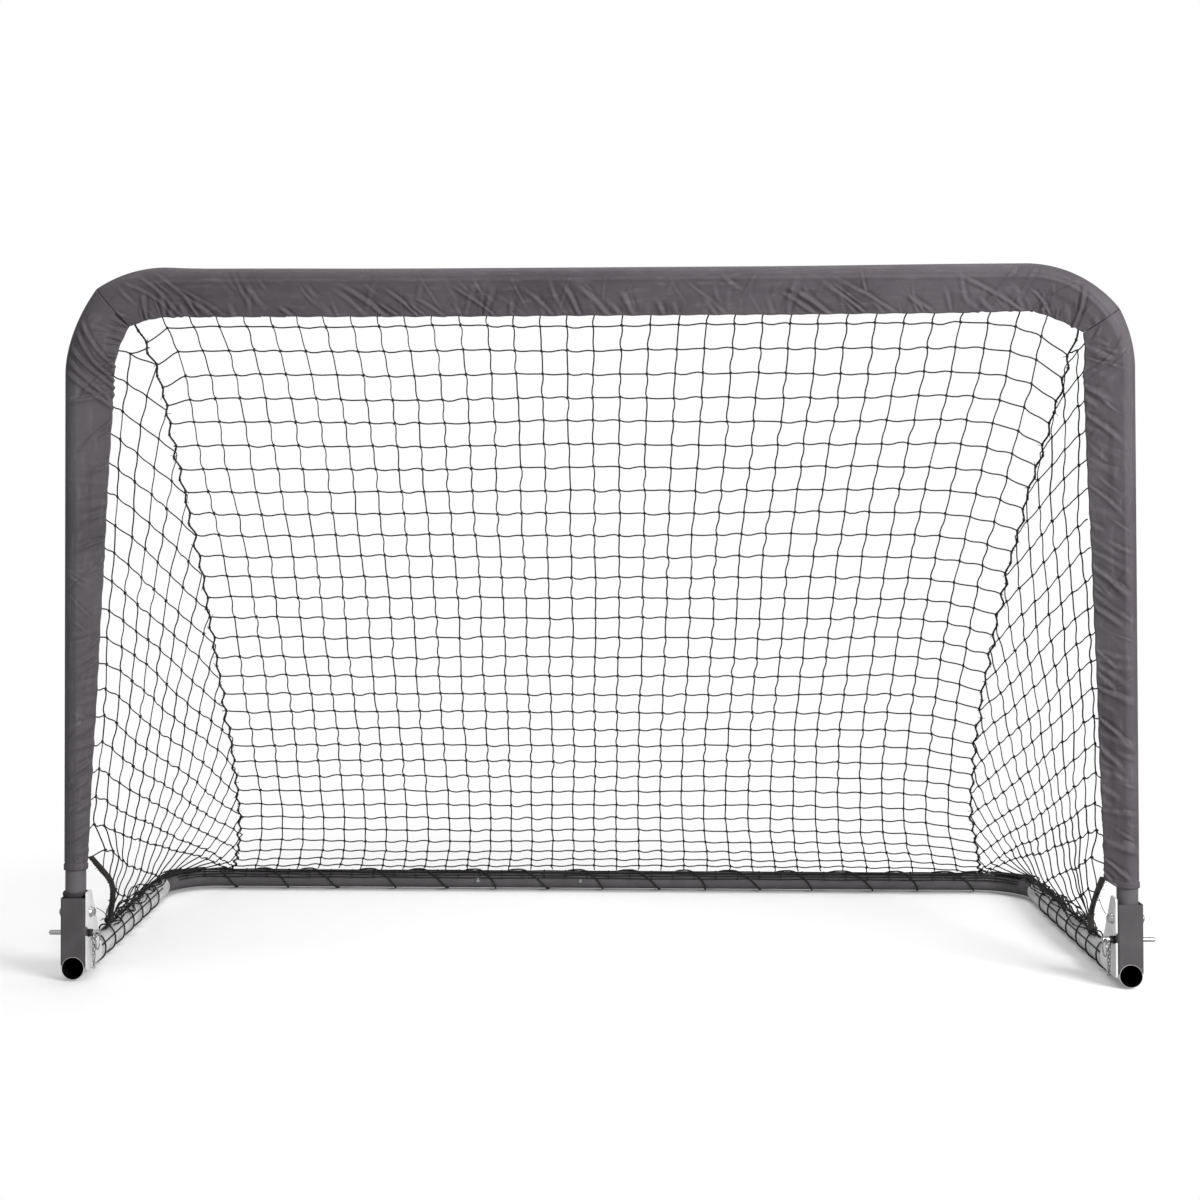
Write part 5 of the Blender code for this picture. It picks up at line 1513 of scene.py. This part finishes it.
def make_chains(look):
    """Keeper chains, link by link along the curve that each one hangs in."""
    shape, faces = link(CHAIN_WIRE / 2, CHAIN_LINK / 2 + CHAIN_WIRE / 2, CHAIN_WIDTH / 2)
    near = 0.001
    for word, side in SIDES.items():
        line = chain_line(word, side)
        lengths = lengths_along(line)
        for k in range(CHAIN_LINKS):
            share = k / (CHAIN_LINKS - 1)
            at = lengths[-1] * share
            place = point_at(line, lengths, at)
            along = point_at(line, lengths, at + near) - point_at(line, lengths, at - near)
            along /= np.linalg.norm(along)
            twist = math.pi / 4 + math.pi / 2 * (k % 2) + LINK_TWIST * math.sin(LINK_TWIST_RATE * k)
            flat = np.array([0, 1.0, 0])
            across = flat * math.cos(twist) + np.cross(along, flat) * math.sin(twist)
            normal = np.cross(along, across)
            points = place + shape[:, :1] * along + shape[:, 1:2] * across + shape[:, 2:] * normal
            piece = make_piece(f"{word}_link_{k:02d}", points, faces, look)
            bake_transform(piece)
            if not k:
                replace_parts(piece, f"{word}_keeper_chain")


def make_rings(look):
    """Pull rings of round wire."""
    for word in SIDES:
        low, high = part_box(f"{word}_pull_ring")
        centre = np.array((low + high) / 2)
        wire = (high.x - low.x) / 2
        radius = (high.z - low.z) / 2 - wire
        bend = wire * RING_WIRE_SHARE
        points = []
        for angle in np.linspace(0, 2 * np.pi, RING_STEPS + 1)[:-1]:
            outward = np.array([0, math.cos(angle), math.sin(angle)])
            for n in range(RING_SIDES):
                spin = 2 * math.pi * n / RING_SIDES
                aside = np.array([bend * math.sin(spin), 0, 0])
                points.append(centre + outward * (radius + bend * math.cos(spin)) + aside)
        faces = strip_faces(RING_STEPS, RING_SIDES, True, True)
        piece = make_piece(f"{word}_ring_wire", points, faces, look)
        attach(piece, f"{word}_ring")
        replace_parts(piece, f"{word}_pull_ring")


def soften(node, width):
    """A small bevel on the hard edges of a CAD part."""
    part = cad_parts[node]
    bevel = part.modifiers.new("edge", "BEVEL")
    bevel.width = width
    bevel.segments = 2
    bevel.limit_method = "ANGLE"
    bevel.angle_limit = math.radians(50)
    bevel.harden_normals = False
    apply_modifiers(part)


def paint(node, material):
    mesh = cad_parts[node].data
    mesh.materials.clear()
    mesh.materials.append(material)


def paint_nodes(finishes):
    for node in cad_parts:
        if "foot_box" in node:
            paint(node, finishes["box"])
        elif "washer" in node or "bush" in node:
            paint(node, finishes["plastic"])
        elif "hinge_plate" in node:
            paint(node, finishes["plate"])
        elif any(word in node for word in ("bolt", "nut", "pin", "ring", "chain", "screw", "spigot")):
            paint(node, finishes["hardware"])


def make_floor():
    """A pale floor that keeps the goal's shadow, white to the camera beyond it."""
    size = 14.0
    points = [(-size, -size, 0), (size, -size, 0), (size, size, 0), (-size, size, 0)]
    finish = Finish("studio_floor", (0.86, 0.86, 0.86), 0.9, Specular_IOR_Level=0.0)
    seen_colour, bounce_colour = (0.93, 0.93, 0.93), (0.50, 0.50, 0.50)
    place = finish.place((0.62, 0.8, 1))
    distance = finish.node("ShaderNodeVectorMath", {"operation": "LENGTH"}, {0: place}, "Value")
    camera_ray = finish.node("ShaderNodeLightPath", output="Is Camera Ray")
    finish.set("Base Color", finish.blend(camera_ray, bounce_colour, seen_colour))
    mask = distance.ramp(low=0.52, high=1.05) * camera_ray
    white = finish.node("ShaderNodeEmission", None, {"Color": (1, 1, 1, 1), "Strength": 1.0})
    mixed = finish.node("ShaderNodeMixShader", None, {0: mask, 2: white})
    links, nodes = finish.tree.links, finish.tree.nodes
    links.new(finish.shader.outputs[0], mixed.socket.node.inputs[1])
    links.new(mixed.socket, nodes["Material Output"].inputs["Surface"])
    make_piece("studio_floor", points, [(0, 1, 2, 3)], finish.material)


def make_world():
    """Soft light from all round, behind a backdrop that the camera sees as white."""
    world = bpy.data.worlds.new("studio")
    bpy.context.scene.world = world
    world.use_nodes = True
    nodes, links = world.node_tree.nodes, world.node_tree.links
    light, seen = nodes["Background"], nodes.new("ShaderNodeBackground")
    for background, strength in ((light, 0.42), (seen, 1.0)):
        background.inputs["Color"].default_value = (1, 1, 1, 1)
        background.inputs["Strength"].default_value = strength
    ray = nodes.new("ShaderNodeLightPath")
    mix = nodes.new("ShaderNodeMixShader")
    links.new(ray.outputs["Is Camera Ray"], mix.inputs[0])
    links.new(light.outputs[0], mix.inputs[1])
    links.new(seen.outputs[0], mix.inputs[2])
    links.new(mix.outputs[0], nodes["World Output"].inputs["Surface"])


def make_lamps():
    """Three square lamps: place, width and power."""
    lamps = {
        "key_light": ((2.9, -3.2, 2.3), 2.0, 215),
        "fill_light": ((-2.8, -3.0, 2.0), 2.4, 16),
        "top_light": ((0.0, 0.3, 3.6), 2.8, 60),
    }
    target = Vector((0, -0.1, 0.6))
    for name, (place, size, power) in lamps.items():
        lamp = bpy.data.lights.new(name, "AREA")
        lamp.size = size
        lamp.energy = power
        body = bpy.data.objects.new(name, lamp)
        bpy.context.scene.collection.objects.link(body)
        body.location = place
        body.rotation_euler = (target - Vector(place)).to_track_quat("-Z", "Y").to_euler()


def make_camera():
    """The photograph's view: nearly level, 3.3 m in front of the mouth."""
    focal_px = 1975.0
    photo_px = 1200.0
    shift_px = Vector((-89.0, -149.5))
    stand = (-0.0104, -3.7, 0.827)
    yaw, pitch, roll = 0.03927, 0.01904, -0.00218
    lens = bpy.data.cameras.new("photo_view")
    lens.sensor_fit = "HORIZONTAL"
    lens.sensor_width = 36.0
    lens.lens = focal_px / photo_px * lens.sensor_width
    lens.shift_x = -shift_px.x / photo_px
    lens.shift_y = shift_px.y / photo_px
    camera = bpy.data.objects.new("photo_view", lens)
    bpy.context.scene.collection.objects.link(camera)
    level = Matrix.Rotation(yaw, 4, "Z") @ Matrix.Rotation(math.pi / 2 + pitch, 4, "X")
    camera.matrix_world = Matrix.Translation(stand) @ (level @ Matrix.Rotation(roll, 4, "Z"))
    bpy.context.scene.camera = camera


def main():
    make_camera()
    cloth = sleeve_cloth()
    coat = powder_coat("powder_coat", (0.070, 0.067, 0.070))
    finishes = {
        "box": powder_coat("box_coat", (0.068, 0.064, 0.067)),
        "plastic": moulded_plastic(),
        "plate": zinc("plate_zinc", (0.96, 0.96, 0.96), roughness=0.42, metallic=0.34),
        "hardware": zinc("hardware_zinc", (0.56, 0.56, 0.57), roughness=0.24),
        "chain": zinc("chain_zinc", (0.44, 0.44, 0.45), roughness=0.20),
    }
    cord = twine("lashing_cord", (0.016, 0.016, 0.017), grain=300.0)
    rear_coat = powder_coat("rear_coat", (0.094, 0.089, 0.093), gloss=0.30)
    rail_zinc = zinc("rail_zinc", (0.93, 0.93, 0.94), roughness=0.36, metallic=0.48, bore=BASE_R)
    make_tubes(coat, rear_coat, rail_zinc)
    make_sleeves(cloth)
    make_bunched_hem(hem_cloth())
    net_look = twine("net_twine", (0.013, 0.013, 0.014), grain=500.0)
    tree = net_tree(net_look)
    make_back_net(tree)
    for word, side in SIDES.items():
        make_side_net(word, side, tree)
        make_seam(word, side, cord)
    make_lacing(cord)
    make_border(cord)
    make_gathers(net_look)
    make_tapes(webbing(), cord)
    make_rings(finishes["chain"])
    make_chains(finishes["chain"])
    paint_nodes(finishes)
    for word in SIDES:
        for part, width in EDGE_WIDTH.items():
            soften(f"{word}_{part}", width)
    make_floor()
    make_world()
    make_lamps()
    bpy.context.scene.view_settings.view_transform = "Standard"


main()
